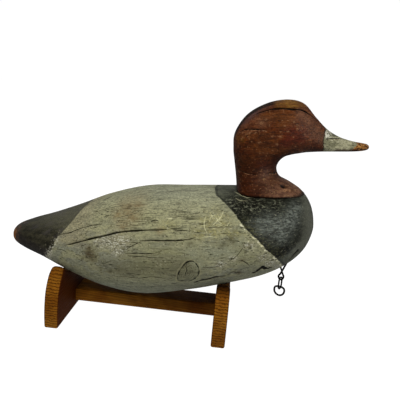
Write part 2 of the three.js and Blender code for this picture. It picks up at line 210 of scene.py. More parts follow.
# Where the breast's black, partly rubbed, carries a painted highlight and painted light low on its front,
# on both sides
BREAST_PAINTED_SHEEN = [(82, 124, 13), (94, 120, 14), (106, 121, 12), (98, 110, 11), (112, 130, 10), (107, 87, 8),
                (99, 82, 6), (116, 92, 5)]

# The edges of the black breast and of the dark tail: degrees round from the top, x
BREAST_EDGE = np.array([(0, 29), (7, 30), (18, 32), (27, 38), (45, 50), (64, 61), (87, 79.5), (98, 88),
                        (118, 97), (134, 100.7), (180, 105)])
TAIL_EDGE = np.array([(0, -107), (19, -111), (40, -116), (64, -127), (75, -133), (86, -135), (93, -140),
                      (102, -143), (112, -146.5), (130, -149), (180, -152)])

# The head's splits, listed as the body's are
HEAD_SPLITS = [
    ([(69, 224.6), (77.1, 228.4), (86.1, 231), (96.5, 232), (108.5, 231.6), (119.3, 229.9),
      (126.5, 226), (133, 221), (138, 216.5)], 1.3, 2.4, -1),
    ([(54, 206.6), (60.5, 210.6), (67, 211.3), (74, 211), (82.5, 210.3)], 0.75, 1.0, -1),
    ([(53, 167.6), (61, 166.4), (69, 165.2), (79, 165.4)], 0.42, 0.9, -1),
    ([(84, 165.9), (91, 165.2), (98, 163.5)], 0.75, 1.3, -1),
    ([(142.5, 201.2), (152.6, 201), (166, 200.2)], 0.8, 0.8, -1),
    ([(58, 190), (72, 188.5), (88, 189.5)], 0.35, 0.8, 1),
    ([(52, 166.5), (70, 164.5), (90, 165)], 0.4, 1.0, 1),
]

# Chips down to pale wood in the head's red paint, on the right side: x, z and radius
HEAD_FLECKS = [
    (74.8, 221.4, 1.1), (81.8, 221.2, 1.2), (77.7, 217.8, 1.5), (109.8, 218.7, 1.2), (113.6, 215.3, 1.3),
    (85.9, 215, 0.9), (96.5, 204.3, 1.7), (88.3, 204.2, 1.0), (75.7, 198, 1.5), (109.3, 203.5, 1.1),
    (112.6, 194, 1.0), (93.1, 196.6, 1.0), (59, 202.7, 1.5), (56.7, 200.7, 1.3), (81.2, 209.6, 1.1),
    (66, 208, 1.8), (62.5, 206, 1.3), (58.5, 207.5, 1.2), (71.5, 207.8, 1.2), (64, 203.8, 1.0),
    (68, 199, 0.9), (100.5, 215, 1.0), (104, 209.5, 1.2), (121, 206, 1.0), (127, 199.5, 1.1),
    (89.5, 190, 1.0),
]
# The nail hole in the neck's foot, its radius and depth, and the larger chips round it
NAIL_HOLE = (101.3, 152.8)
NAIL_HOLE_RADIUS = 2.4
NAIL_HOLE_DEPTH = 2.2
CHIPS = [(105, 149.6), (107.5, 148.5), (102.5, 149), (87, 146), (90, 145.6), (107, 155)]
# Where the bill's paint begins, and where it is worn off towards the tip
BILL_BASE = 145.0
BILL_WEAR = 174.0

# Patches of the head's paint on the right side, and of the painted sheen on its brow and cheek: x, z and
# radius
HEAD_PATCHES = {
    "nape": [(56, 201, 5)],
    "foot": [(84, 160, 9)],
    "deep": [(112, 209, 11), (118, 203, 9), (104, 200, 10), (80, 172, 9)],
    "golden": [(97, 222, 13), (84, 221, 9)],
    "painted_brow_sheen": [(126, 221, 9), (134, 212, 9), (140, 202, 8), (130, 204, 8), (118, 226, 7), (74, 218, 10),
             (64, 212, 8)],
}

# The cradle: two end boards and a rail. A board's side runs by its foot, belly and horn
STAND_THICKNESS = 14.3
RAIL_THICKNESS = 14.3
REAR_BOARD_X = -119.25
FRONT_BOARD_X = 53.4
FOOT_HALF = 74.0
FOOT_CORNER = 1.5
BELLY_HALF = 75.5
BELLY_Z = 27.0
HORN_HALF = 56.0
HORN_ROUND = 12.0
HORN_DROP = 11.0
EDGE_ROUND = 1.7
HORN_ROUND_MORE = 3.0
RAIL_HALF = 16.0
RAIL_BOTTOM = 7.3
BOARD_ACROSS = 96
BOARD_UP = 34
# How far the curves of a board's side are pulled out and up from the belly, shoulder and tip
PULLS = {"below": (1, -10.8), "above": (-0.7, 12), "shoulder": (4.5, -6.6), "tip": (4.2, 0.5)}

# The line tie: a staple with an eye, a link and a ring, each loop turned by some degrees
TIE_X = 116.3
TIE_FRONT_LEG_X = 124.6
TIE_REAR_LEG_X = 110.8
TIE_NECK_Z = 64.3
TIE_NECK_HALF = 1.3
TIE_LAY = 1.35
LEG_IN_WOOD = 2.2
EYE = {"radius": 1.1, "half": 2.7, "top": 59.7, "bottom": 53.3, "turn": -35}
LINK = {"radius": 0.95, "half": 2.5, "top": 55.9, "bottom": 42.3, "turn": 50}
RING = {"radius": 1.15, "half": 5.9, "top": 44.8, "bottom": 34.5, "turn": -24}
WIRE_SIDES = 18

# The camera in millimetres and radians, the lamps' colour and aim, and how bright the room is
# behind the duck, in mirrored light and below it
CAMERA_TARGET = (18.05, 0, 134.5)
CAMERA_LENS = 46.8
CAMERA_YAW = math.radians(3.3)
CAMERA_PITCH = math.radians(12.6)
CAMERA_ROLL = math.radians(5.2)
LAMP_COLOUR = (1.0, 0.985, 0.955)
LAMP_TARGET = (0.0, 0.0, 0.12)
BACK_LIGHT = 0.85
MIRRORED_LIGHT = 0.15
TABLE_LIGHT = 0.74
# Just over white, for the backdrop and the paper floor, and the floor's sides and its distance
# under the feet
BACKDROP_WHITE = 1.01
PAPER_GLOW = 1.1
FLOOR_SIDES = 64
FLOOR_DROP = 0.1

# The grain of each carving's paint: streaks, finer streaks, patches and grit, each with its size
# in millimetres, detail, roughness and shift
BODY_GRAIN = (
    ((38, 4.6, 3.2), 4, 0.65, 1.3),
    ((14, 2.4, 1.7), 3, 0.65, 5.9),
    ((20, 12, 8), 4, 0.65, 7.7),
    ((2.6, 2.0, 1.8), 3, 0.7, 9.2),
)
HEAD_GRAIN = (
    ((24, 4, 2.4), 4, 0.6, 6.6),
    ((10, 2, 1.4), 3, 0.6, 8.8),
    ((13, 9, 7), 4, 0.62, 4.4),
    ((2.2, 1.8, 1.5), 3, 0.7, 10.1),
)
# How much paint shines, and how little varnished wood and rusty wire do
PAINT_GLOSS = {"Specular IOR Level": 0.36}
DULL_GLOSS = {"Specular IOR Level": 0.04}


def settings():
    """The scene's decoy settings."""
    return bpy.context.scene.decoy


def linear(shown):
    """Linear light for a colour given as it is shown on a screen."""
    shown = np.asarray(shown[:3], float)
    return tuple(np.where(shown <= 0.04045, shown / 12.92, ((shown + 0.055) / 1.055) ** 2.4))


# Curves, noise and frames

def smooth(knots, values, at):
    """A cubic through the values at the knots, whose slope at a knot is its neighbours' mean
    slope, weighted by their distances, and at the ends the slope of the last stretch."""
    knots = np.asarray(knots, float)
    values = np.asarray(values, float)
    slopes = np.gradient(values, knots, axis=0)
    at = np.clip(at, knots[0], knots[-1])
    index = np.clip(np.searchsorted(knots, at, side="right") - 1, 0, len(knots) - 2)
    span = knots[index + 1] - knots[index]
    u = (at - knots[index]) / span
    if values.ndim > 1:
        span, u = span[..., None], u[..., None]
    rest = 1 - u
    ends = values[index] * rest ** 2 * (1 + 2 * u) + values[index + 1] * u ** 2 * (3 - 2 * u)
    return ends + span * u * rest * (slopes[index] * rest - slopes[index + 1] * u)


def signed_power(value, power):
    """The value's size raised to the power, with its sign kept."""
    return np.sign(value) * np.abs(value) ** power


def bell(distance, width):
    """One at no distance, falling off as a normal curve of this width."""
    return np.exp(-((distance / width) ** 2))


def step_between(value, low, high):
    """Nought below low, one above high, and a smooth S between."""
    u = np.clip((value - low) / (high - low), 0, 1)
    return u * u * (3 - 2 * u)


def lattice_noise(points, grain, seed):
    """Noise from -1 to 1: random values at the corners of a lattice whose cells have the size
    grain along x, y and z, joined by smooth steps."""
    cells = 32
    corners = np.random.default_rng(seed).uniform(-1, 1, (cells, cells, cells))
    cell = points / np.asarray(grain, float)
    base = np.floor(cell).astype(int)
    part = cell - base
    part = part * part * (3 - 2 * part)
    total = np.zeros(points.shape[:-1])
    for offset in np.ndindex(2, 2, 2):
        share = np.prod(np.where(np.array(offset) == 1, part, 1 - part), axis=-1)
        x, y, z = np.moveaxis((base + offset) % cells, -1, 0)
        total += share * corners[x, y, z]
    return total


def carver_to_floor(points):
    """Points of the carver's frame, in millimetres, tipped nose up and set over the floor."""
    c, s = math.cos(NOSE_UP), math.sin(NOSE_UP)
    x, y, z = np.moveaxis(points, -1, 0)
    return np.stack([x * c - z * s + DUCK_X, y, x * s + z * c + DUCK_Z], axis=-1)


# Meshes

def grid_faces(rows, columns, wrap_rows=False):
    """Corner numbers of the quads of a grid whose columns close on themselves."""
    row = np.arange(rows if wrap_rows else rows - 1)[:, None]
    column = np.arange(columns)[None, :]
    here, along = row * columns, ((row + 1) % rows) * columns
    turned = (column + 1) % columns
    corners = (here + column, here + turned, along + turned, along + column)
    return np.stack([np.broadcast_to(c, (len(row), columns)) for c in corners], -1).reshape(-1, 4)


def build_object(name, points, quads, triangles=None, values=None):
    """An object from whole arrays: points in millimetres, faces by corner number, and values that
    its materials read, one number or one vector for each point."""
    faces = [quads.reshape(-1)]
    sizes = [np.full(len(quads), 4)]
    if triangles is not None and len(triangles):
        faces.append(np.asarray(triangles).reshape(-1))
        sizes.append(np.full(len(triangles), 3))
    corners, counts = np.concatenate(faces), np.concatenate(sizes)
    mesh = bpy.data.meshes.new(name)
    mesh.vertices.add(len(points))
    mesh.vertices.foreach_set("co", (points * MM).astype(np.float32).ravel())
    mesh.loops.add(len(corners))
    mesh.loops.foreach_set("vertex_index", corners.astype(np.int32))
    mesh.polygons.add(len(counts))
    starts = np.concatenate([[0], np.cumsum(counts)[:-1]])
    mesh.polygons.foreach_set("loop_start", starts.astype(np.int32))
    mesh.polygons.foreach_set("use_smooth", np.ones(len(counts), bool))
    mesh.update(calc_edges=True)
    for key, array in (values or {}).items():
        kind = "FLOAT" if array.ndim == 1 else "FLOAT_VECTOR"
        field = "value" if array.ndim == 1 else "vector"
        mesh.attributes.new(key, kind, "POINT").data.foreach_set(field, array.astype(np.float32).ravel())
    mesh.validate()
    thing = bpy.data.objects.new(name, mesh)
    bpy.context.scene.collection.objects.link(thing)
    return thing


def closed_skin(name, grid, first=None, last=None, values=None):
    """A grid whose columns wrap, closed at each end by a fan to one point."""
    rows, columns = grid.shape[:2]
    points = grid.reshape(-1, 3)
    quads = grid_faces(rows, columns)
    turn = np.arange(columns)
    after = (turn + 1) % columns
    fans = []
    for tip, row, flip in ((first, 0, False), (last, rows - 1, True)):
        centre = np.full(columns, len(points))
        points = np.vstack([points, tip])
        edge = row * columns
        corners = (centre, edge + after, edge + turn) if not flip else (centre, edge + turn, edge + after)
        fans.append(np.stack(corners, -1))
    flat = {}
    for key, array in (values or {}).items():
        body = array.reshape((-1,) + array.shape[2:])
        ends = np.stack([array[0].mean(0), array[-1].mean(0)])
        flat[key] = np.concatenate([body, ends])
    return build_object(name, points, quads, np.concatenate(fans), flat)


def grid_normals(grid):
    """Outward directions over a grid whose columns wrap: across the two tangents."""
    along = np.gradient(grid, axis=0)
    around = np.roll(grid, -1, axis=1) - np.roll(grid, 1, axis=1)
    out = np.cross(around, along)
    return out / np.maximum(np.linalg.norm(out, axis=-1, keepdims=True), 1e-9)


# Splits in the wood

def onto_surface(grid, corners, side):
    """Side-view points x, z moved across onto the surface: each is the mean of the four grid
    points of that side that lie nearest to it in side view, weighted by their nearness."""
    picked = grid[grid[..., 1] * side > -0.5]
    away = np.linalg.norm(picked[None, :, [0, 2]] - np.asarray(corners, float)[:, None, :], axis=-1)
    nearest = np.argsort(away, axis=1)[:, :4]
    weight = 1 / (np.take_along_axis(away, nearest, 1) + 0.05) ** 2
    return (picked[nearest] * weight[..., None]).sum(1) / weight.sum(1)[:, None]


def curve_distance(points, outward, corners):
    """Distance of points from a smooth line through the corners, signed by the side of the line
    that they lie on over the surface, and how far along the line they are, from 0 to 1."""
    lengths = np.linalg.norm(np.diff(corners, axis=0), axis=1)
    knots = np.concatenate([[0], np.cumsum(lengths)])
    line = smooth(knots, corners, np.linspace(0, knots[-1], 6 * len(corners)))
    best = np.full(points.shape[:-1], 1e9)
    side = np.ones_like(best)
    along = np.zeros_like(best)
    for index in range(len(line) - 1):
        start, step = line[index], line[index + 1] - line[index]
        away = points - start
        share = np.clip(away @ step / (step @ step), 0, 1)
        away = away - share[..., None] * step
        distance = np.linalg.norm(away, axis=-1)
        closer = distance < best
        best = np.where(closer, distance, best)
        side = np.where(closer, np.sign((away * np.cross(outward, step)).sum(-1)), side)
        along = np.where(closer, (index + share) / (len(line) - 1), along)
    return best * np.where(side == 0, 1, side), along


def split_values(grid, outward, splits, seed):
    """For each point: its distance from the nearest split, the split's half width there, and a
    mask that is one near it. Also how deep the splits are cut there."""
    wander = lattice_noise(grid, (9, 9, 9), seed) * 0.28
    wander = wander + lattice_noise(grid, (2.6, 2.6, 2.6), seed + 1) * 0.2
    nearest = np.full(grid.shape[:2], 1e9)
    values = np.zeros(grid.shape[:2] + (3,))
    cut = np.zeros(grid.shape[:2])
    for corners, half, depth, side in splits:
        line = onto_surface(grid, corners, side)
        near = ((grid > line.min(0) - 8) & (grid < line.max(0) + 8)).all(-1)
        distance, along = curve_distance(grid[near], outward[near], line)
        distance = distance + wander[near]
        width = half * np.sin(np.pi * np.clip(along, 0.001, 0.999)) ** 0.45
        width = width * (0.9 + 0.2 * np.sin(along * 31 + seed))
        gap = np.abs(distance) - width
        closer = gap < nearest[near]
        mask = 1 - step_between(np.abs(distance), 2.2, 3.8)
        fresh = np.stack([distance, width, mask], -1)
        values[near] = np.where(closer[:, None], fresh, values[near])
        nearest[near] = np.where(closer, gap, nearest[near])
        open_share = 1 - step_between(np.abs(distance), width * 0.3, width + 0.6)
        cut[near] = np.maximum(cut[near], depth * open_share * (width / half))
    return values, cut


# Body

def body_angle(x):
    """A station's angle on a half turn from tail to breast, which rounds both ends."""
    middle, reach = (TAIL_TIP + BREAST_TIP) / 2, (BREAST_TIP - TAIL_TIP) / 2
    return np.arccos(np.clip((middle - x) / reach, -1, 1))


def body_station(x):
    """Top line, bottom line, half width and height of the widest line at x."""
    knots = body_angle(BODY_STATIONS[:, 0])
    return np.moveaxis(smooth(knots, BODY_STATIONS[:, 1:], body_angle(np.asarray(x, float))), -1, 0)


def body_point(x, girth):
    """A point of the body: round a superellipse section from the top, down the right side, under
    and up the left side, as girth goes from 0 to a full turn."""
    top, bottom, half, widest = body_station(x)
    upper = np.cos(girth) > 0
    power = 2 / np.where(upper, TOP_POWER, BOTTOM_POWER)
    height = np.where(upper, top - widest, widest - bottom)
    y = -half * signed_power(np.sin(girth), power)
    z = widest + height * signed_power(np.cos(girth), power)
    return np.stack(np.broadcast_arrays(x, y, z), -1)


def body_height(x, y, underside=False):
    """Height of the body's back, or of its underside, over a point of the plan."""
    top, bottom, half, widest = body_station(x)
    power = BOTTOM_POWER if underside else TOP_POWER
    across = np.clip(np.abs(y) / np.maximum(half, 1e-6), 0, 1)
    return widest + ((bottom if underside else top) - widest) * (1 - across ** power) ** (1 / power)


def underside_height(x, y):
    """Height above the floor of the duck's underside, found by stepping along the tipped frame."""
    carver_x = np.asarray(x, float) - DUCK_X
    for _ in range(8):
        point = np.stack(np.broadcast_arrays(carver_x, y, body_height(carver_x, y, True)), -1)
        placed = carver_to_floor(point)
        carver_x = carver_x + x - placed[..., 0]
    return placed[..., 2]


def column_angles(count, density):
    """So many column angles in degrees round a full turn, as close together at each angle as the
    density there, which is a function of the angle, says."""
    angle = np.linspace(0, 360, 3601)
    crowd = density(angle)
    total = np.concatenate([[0], np.cumsum((crowd[1:] + crowd[:-1]) / 2)])
    return np.interp(np.arange(count) / count, total / total[-1], angle)


def body_girths():
    """The body's column angles: close together on the right side, closest along the splits, and
    wide apart on the left."""
    def density(angle):
        close = sum(bell(angle - girth, 1.7) for girth in SPLIT_GIRTHS)
        return np.where(angle < 180, 1.0, 0.42) + 3.6 * close
    return column_angles(BODY_COLUMNS, density)


def split_lean(x):
    """How far in degrees the columns lean at x so that one of them runs along the long split."""
    corners = np.asarray(LONG_SPLIT, float)
    top, _, _, widest = body_station(corners[:, 0])
    share = np.clip((corners[:, 1] - widest) / (top - widest), 0, 1)
    girth = np.degrees(np.arccos(share ** (TOP_POWER / 2)))
    lean = np.interp(x, corners[:, 0], girth - LONG_SPLIT_GIRTH)
    return lean * step_between(x, -190, -125)


def body_grid():
    """The body's surface points: stations along, girth around, leaning with the long split."""
    turn = np.linspace(0, np.pi, BODY_ROWS + 2)[1:-1]
    middle, reach = (TAIL_TIP + BREAST_TIP) / 2, (BREAST_TIP - TAIL_TIP) / 2
    x = middle - reach * np.cos(turn)
    girth = body_girths()
    below = step_between(girth, 20, LONG_SPLIT_GIRTH) * (1 - step_between(girth, LONG_SPLIT_GIRTH, 125))
    lean = split_lean(x)[:, None] * np.where(girth < 180, below, 0)[None, :]
    return body_point(x[:, None], np.radians(girth[None, :] + lean))


def girth_of(grid):
    """Degrees round the section from the top, the same on both sides, for each point."""
    top, bottom, half, widest = body_station(grid[..., 0])
    upper = grid[..., 2] > widest
    power = np.where(upper, TOP_POWER, BOTTOM_POWER)
    height = np.where(upper, top - widest, widest - bottom)
    across = (np.abs(grid[..., 1]) / np.maximum(half, 1e-6)) ** (power / 2)
    up = (np.abs(grid[..., 2] - widest) / np.maximum(height, 1e-6)) ** (power / 2)
    return np.degrees(np.arctan2(across, np.where(upper, up, -up)))


def blotch(grid, spots, side=-1):
    """Soft round patches, each given as side-view x, z and a radius, on one side of the duck, or
    on both where the side is nought."""
    total = np.zeros(grid.shape[:2])
    for x, z, radius in spots:
        away = np.hypot(grid[..., 0] - x, (grid[..., 2] - z) * 1.3)
        total = np.maximum(total, bell(away, radius))
    return total * step_between(np.where(side == 0, 12, grid[..., 1] * side), 0, 12)


def knot_distance(grid, outward):
    """Distance from the outline of the knot on the right side, less than nought inside it."""
    line = onto_surface(grid, KNOT_OUTLINE, -1)
    near = ((grid > line.min(0) - 8) & (grid < line.max(0) + 8)).all(-1)
    distance = np.full(grid.shape[:2], 9.0)
    away, _ = curve_distance(grid[near], outward[near], line)
    centre = line[:-1].mean(0)
    middle = np.argmin(np.linalg.norm(grid[near] - centre, axis=-1))
    distance[near] = away * -np.sign(away[middle])
    return distance


def body_values(grid, outward):
    """The numbers that the body's paint reads, and how deep its surface is cut."""
    girth = girth_of(grid)
    breast = (grid[..., 0] - smooth(BREAST_EDGE[:, 0], BREAST_EDGE[:, 1], girth)) * 0.72
    tail = (smooth(TAIL_EDGE[:, 0], TAIL_EDGE[:, 1], girth) - grid[..., 0]) * 0.85
    split, cut = split_values(grid, outward, BODY_SPLITS, 11)
    slot, slot_along = curve_distance(grid, outward, onto_surface(grid, OLD_TIE_SLOT, -1))
    slot_half = SLOT_HALF * (0.4 + 0.6 * slot_along)
    slot_open = 1 - step_between(np.abs(slot), slot_half * 0.65, slot_half)
    knot = knot_distance(grid, outward)
    scratches = [(corners, half, 0, -1) for corners, half in PALE_SCRATCHES]
    scratch, _ = split_values(grid, outward, scratches, 15)
    cut = np.maximum(cut, KNOT_GROOVE_DEPTH * bell(knot, KNOT_GROOVE_WIDTH))
    cut = np.maximum(cut, SLOT_DEPTH * slot_open)
    patch = {name: blotch(grid, spots) for name, spots in BODY_PATCHES.items()}
    # A painted highlight on the breast's black, over rubbed paint
    sheen = blotch(grid, BREAST_PAINTED_SHEEN, 0)
    # Grime and painted shade in a band low on the side
    lower = step_between(grid[..., 0], -92, -70) * (1 - step_between(grid[..., 0], 2, 30))
    grime_and_shade = lower * bell(grid[..., 2] - 82, 11.5) * (0.8 + 0.2 * np.sign(-grid[..., 1]))
    return {
        "split": split,
        "edges": np.stack([breast, tail, knot], -1),
        "wear": np.stack([patch["stain"], patch["rust"], patch["pale"]], -1),
        "rub": np.stack([patch["yellow"], patch["smudge"], slot_open], -1),
        "zones": np.stack([grime_and_shade, sheen, np.maximum(patch["scrubbed"], patch["mint"])], -1),
        "scratch": scratch,
    }, cut


def carved(grid, outward, cut, seed, depth):
    """The surface a little uneven from the knife, always inward, and cut at its splits."""
    broad = lattice_noise(grid, (46, 30, 30), seed) * 0.64
    broad = broad + lattice_noise(grid, (17, 11, 11), seed + 1) * 0.26
    ridges = lattice_noise(grid, (30, 3.2, 3.2), seed + 2) * 0.1
    return grid - outward * (depth * (1 + np.clip(broad + ridges, -1, 1)) + cut)[..., None]


# Head

def head_section(at):
    """The head's section measures at a place in the list, counted from 0 at the seat."""
    return smooth(np.arange(len(HEAD_SECTIONS)), HEAD_SECTIONS, np.asarray(at, float))


def head_point(at, turn, shrink=1.0):
    """A point of the head: round a superellipse between the throat and the crown of a section,
    from the throat by the left side, as turn goes from 0 to a full turn."""
    throat_x, throat_z, crown_x, crown_z, half, widest, throat_power, crown_power = np.moveaxis(
        head_section(at), -1, 0)
    crown_side = np.cos(turn) < 0
    power = 2 / np.where(crown_side, crown_power, throat_power)
    reach = np.where(crown_side, 1 - widest, widest)
    along = widest - reach * signed_power(np.cos(turn), power) * shrink
    x = throat_x + (crown_x - throat_x) * along
    z = throat_z + (crown_z - throat_z) * along
    y = half * signed_power(np.sin(turn), power) * shrink
    seat = body_height(x, y) + FIT_GAP
    z = np.where(at < NECK_FOOT, np.maximum(z, seat + at), z)
    return np.stack(np.broadcast_arrays(x, y, z), -1)


def head_turns():
    """The head's column angles: closer together on the right side and closest along the split
    over the crown."""
    def density(angle):
        return np.where(angle > 180, 1.0, 0.7) + 2.4 * bell(angle - CROWN_SPLIT_TURN, 4.0)
    return column_angles(HEAD_COLUMNS, density)


def head_grid():
    """The head's surface points: the seat from its middle out, then the sections up to the bill."""
    turn = head_turns()
    inner = np.sin(np.pi / 2 * np.arange(1, SEAT_ROWS + 1) / SEAT_ROWS)[:, None]
    seat = head_point(np.zeros((SEAT_ROWS, 1)), np.radians(turn)[None, :], inner)
    seat[..., 2] = body_height(seat[..., 0], seat[..., 1]) + FIT_GAP
    last = len(HEAD_SECTIONS) - 1
    share = np.arange(1, HEAD_ROWS + 1) / (HEAD_ROWS + 1)
    at = last * (share + 0.012 * np.sin(2 * np.pi * share))[:, None]
    near_split = bell(turn - CROWN_SPLIT_TURN, 24.0)[None, :]
    run = np.interp(at, CROWN_SPLIT_RUN[:, 0], CROWN_SPLIT_RUN[:, 1]) - (CROWN_SPLIT_TURN - 180)
    fade = step_between(at, 4.5, 6.2) * (1 - step_between(at, 12, 13.5))
    rings = head_point(at, np.radians(turn[None, :] + run * fade * near_split))
    return np.concatenate([seat, rings])


def head_values(grid, outward):
    """The numbers that the head's paint reads, and how deep its surface is cut."""
    x, y, z = np.moveaxis(grid, -1, 0)
    bill = x - BILL_BASE + 0.015 * y ** 2 + 0.1 * np.clip(192 - z, 0, 6) ** 2
    tip = x - BILL_WEAR + 0.9 * (192 - z)
    seam = z - body_height(x, y)
    split, cut = split_values(grid, outward, HEAD_SPLITS, 23)
    nail = onto_surface(grid, [NAIL_HOLE], -1)[0]
    away = np.linalg.norm((grid - nail) / (1.4, 1, 1), axis=-1)
    hole = 1 - step_between(away, NAIL_HOLE_RADIUS, NAIL_HOLE_RADIUS + 0.7)
    cut = np.maximum(cut, NAIL_HOLE_DEPTH * hole)
    chip = np.zeros_like(x)
    for spot in onto_surface(grid, CHIPS, -1):
        chip = np.maximum(chip, 1 - step_between(np.linalg.norm(grid - spot, axis=-1), 1.2, 2.8))
    for spot, fleck in zip(onto_surface(grid, [fleck[:2] for fleck in HEAD_FLECKS], -1), HEAD_FLECKS):
        away = np.linalg.norm((grid - spot) / (1.5, 1, 1), axis=-1)
        chip = np.maximum(chip, 0.7 - 0.7 * step_between(away, fleck[2] * 0.2, fleck[2] * 1.3))
    crown = step_between(z, 230.5, 235) * step_between(x, 87, 101)
    crown = crown * (1 - 0.65 * step_between(x, 108, 118))
    nape = bell(x - 78, 14) * step_between(z - 0.55 * x, 181, 187)
    patch = {name: blotch(grid, spots) for name, spots in HEAD_PATCHES.items()}
    foot = step_between(x, 72, 100) * (1 - step_between(z, 150, 166))
    foot = np.maximum(foot, 0.6 * patch["foot"])
    lip = bell(z - 188.3 - 0.5 * np.cos(x), 1.9)
    lip = lip * step_between(x, 150, 157) * (1 - step_between(x, 176, 181))
    # A painted sheen along the crown's ridge, on both sides
    painted_ridge_sheen = bell(np.abs(y) - 12, 4.5) * step_between(z, 212, 223) * (1 - step_between(x, 70, 92))
    from_ridge = np.abs(y) - 0.14 * np.clip(z - 216, 0, 20)
    back = (1 - step_between(from_ridge, 8.8, 11)) * step_between(z, 196, 208)
    back = back * (1 - step_between(x, 87, 99))
    return {
        "split": split,
        "edges": np.stack([bill, tip, seam], -1),
        "wear": np.stack([crown, 0.5 * patch["nape"], foot], -1),
        "rub": np.stack([hole, chip, lip], -1),
        "tone": np.stack([patch["deep"], painted_ridge_sheen, patch["golden"]], -1),
        "sheen": np.stack([patch["painted_brow_sheen"], back, nape], -1),
    }, cut


# Cradle

def bezier(corners, share):
    """A Bezier curve of any degree from its first corner to its last, by blending neighbours
    until one point is left."""
    points = [np.asarray(corner, float)[None, :] for corner in corners]
    share = share[:, None]
    while len(points) > 1:
        points = [a * (1 - share) + b * share for a, b in zip(points, points[1:])]
    return points[0]


def spaced_evenly(points, spacing):
    """The same line with its points at these shares of its length, or at so many even ones."""
    run = np.concatenate([[0], np.cumsum(np.linalg.norm(np.diff(points, axis=0), axis=1))])
    at = np.linspace(0, run[-1], spacing) if np.ndim(spacing) == 0 else spacing * run[-1]
    return np.stack([np.interp(at, run, column) for column in points.T], -1)


def board_side(tip_z, spacing):
    """The edge line of an end board on the duck's left, y and z, from the foot's corner to the
    horn, at these shares of its length."""
    share = np.linspace(0, 1, 24)
    belly = np.array([BELLY_HALF, BELLY_Z])
    tip = np.array([HORN_HALF, tip_z])
    shoulder = tip + (HORN_ROUND, -HORN_DROP)
    corner = bezier([(FOOT_HALF - FOOT_CORNER, 0), (FOOT_HALF, 0), (FOOT_HALF, FOOT_CORNER)], share)
    lower = bezier([(FOOT_HALF, FOOT_CORNER), belly + PULLS["below"], belly], share)
    upper = bezier([belly, belly + PULLS["above"], shoulder + PULLS["shoulder"], shoulder], share)
    horn = bezier([shoulder, tip + PULLS["tip"], tip], share)
    return spaced_evenly(np.concatenate([corner[:-1], lower[:-1], upper[:-1], horn]), spacing)


def bordered(count, border):
    """Even shares from 0 to 1, with closer ones at both ends for a rounding this broad there."""
    close = border * (1 - np.cos(np.radians((0, 22.5, 45, 67.5, 90))))
    even = np.linspace(border, 1 - border, count)[1:-1]
    return np.concatenate([close, even, 1 - close[::-1]])


def board_face(middle_x):
    """The face of an end board as a grid of y, z: a Coons patch, the sum of the blends between
    its two edges and between its foot and cradle, less the blend of its corners."""
    faces = (middle_x - STAND_THICKNESS / 2, middle_x + STAND_THICKNESS / 2)
    across = 2 * bordered(BOARD_ACROSS, EDGE_ROUND / (2 * BELLY_HALF)) - 1
    spacing = bordered(BOARD_UP, EDGE_ROUND / (1.6 * BELLY_Z))
    y = HORN_HALF * across
    cradle_z = np.minimum(*(underside_height(np.full_like(y, x), y) for x in faces)) - FIT_GAP
    cradle = np.stack([y, cradle_z], -1)
    foot = np.stack([across * (FOOT_HALF - FOOT_CORNER), np.zeros_like(y)], -1)
    left = board_side(cradle_z[-1], spacing)
    right = left * (-1, 1)
    u = ((across + 1) / 2)[:, None, None]
    v = spacing[None, :, None]
    sides = (1 - u) * right[None] + u * left[None]
    ends = (1 - v) * foot[:, None] + v * cradle[:, None]
    corners = (1 - u) * ((1 - v) * right[0] + v * right[-1]) + u * ((1 - v) * left[0] + v * left[-1])
    return sides + ends - corners


def edge_fall(face):
    """How far the face falls back near its outline: by a quarter circle of the distance from it,
    whose radius grows towards the horns' tips."""
    outline = np.concatenate([face[:, 0], face[-1, 1:], face[-2::-1, -1], face[0, -2::-1]])
    start, step = outline[:-1], np.diff(outline, axis=0)
    away = face.reshape(-1, 1, 2) - start
    share = np.clip((away * step).sum(-1) / np.maximum((step ** 2).sum(-1), 1e-12), 0, 1)
    distance = np.linalg.norm(away - share[..., None] * step, axis=-1).min(-1).reshape(face.shape[:2])
    top = face[..., 1].max()
    radius = EDGE_ROUND + HORN_ROUND_MORE * step_between(face[..., 1], top - 9, top - 1)
    short = np.clip(radius - distance, 0, radius)
    return radius - np.sqrt(radius ** 2 - short ** 2)


def end_board(name, middle_x):
    """An end board: its face at the back and the front of its thickness, rounded off to the edges
    and joined round them."""
    face = board_face(middle_x)
    rows, up = face.shape[:2]
    half = STAND_THICKNESS / 2 - edge_fall(face)[..., None]
    low = np.concatenate([middle_x - half, face], -1)
    high = np.concatenate([middle_x + half, face], -1)
    loop = np.concatenate([low, high[:, ::-1]], 1)
    columns = 2 * up
    quads = grid_faces(rows, columns)
    pair = np.arange(up - 1)
    mirror = columns - 1 - pair
    first = np.stack([pair + 1, pair, mirror, mirror - 1], -1)
    last = np.stack([pair, pair + 1, mirror - 1, mirror], -1) + (rows - 1) * columns
    board = build_object(name, loop.reshape(-1, 3), np.concatenate([quads, first, last]))
    board.data.set_sharp_from_angle(angle=math.radians(50))
    return board


def rail():
    """The rail: a rectangle with rounded corners, carried along X from board to board."""
    half_height = RAIL_THICKNESS / 2
    corner = 1.2
    turn = np.linspace(0, 2 * np.pi, 32, endpoint=False) + np.pi / 32
    y = np.sign(np.cos(turn)) * (RAIL_HALF - corner) + corner * np.cos(turn)
    z = np.sign(np.sin(turn)) * (half_height - corner) + corner * np.sin(turn)
    start = REAR_BOARD_X + STAND_THICKNESS / 2 + FIT_GAP
    end = FRONT_BOARD_X - STAND_THICKNESS / 2 - FIT_GAP
    x = np.linspace(start, end, 24)[:, None]
    grid = np.stack(np.broadcast_arrays(x, y[None], z[None] + RAIL_BOTTOM + half_height), -1)
    beam = closed_skin("stand_rail_wood", grid, grid[0].mean(0), grid[-1].mean(0))
    beam.data.set_sharp_from_angle(angle=math.radians(35))
    return beam


# Line tie

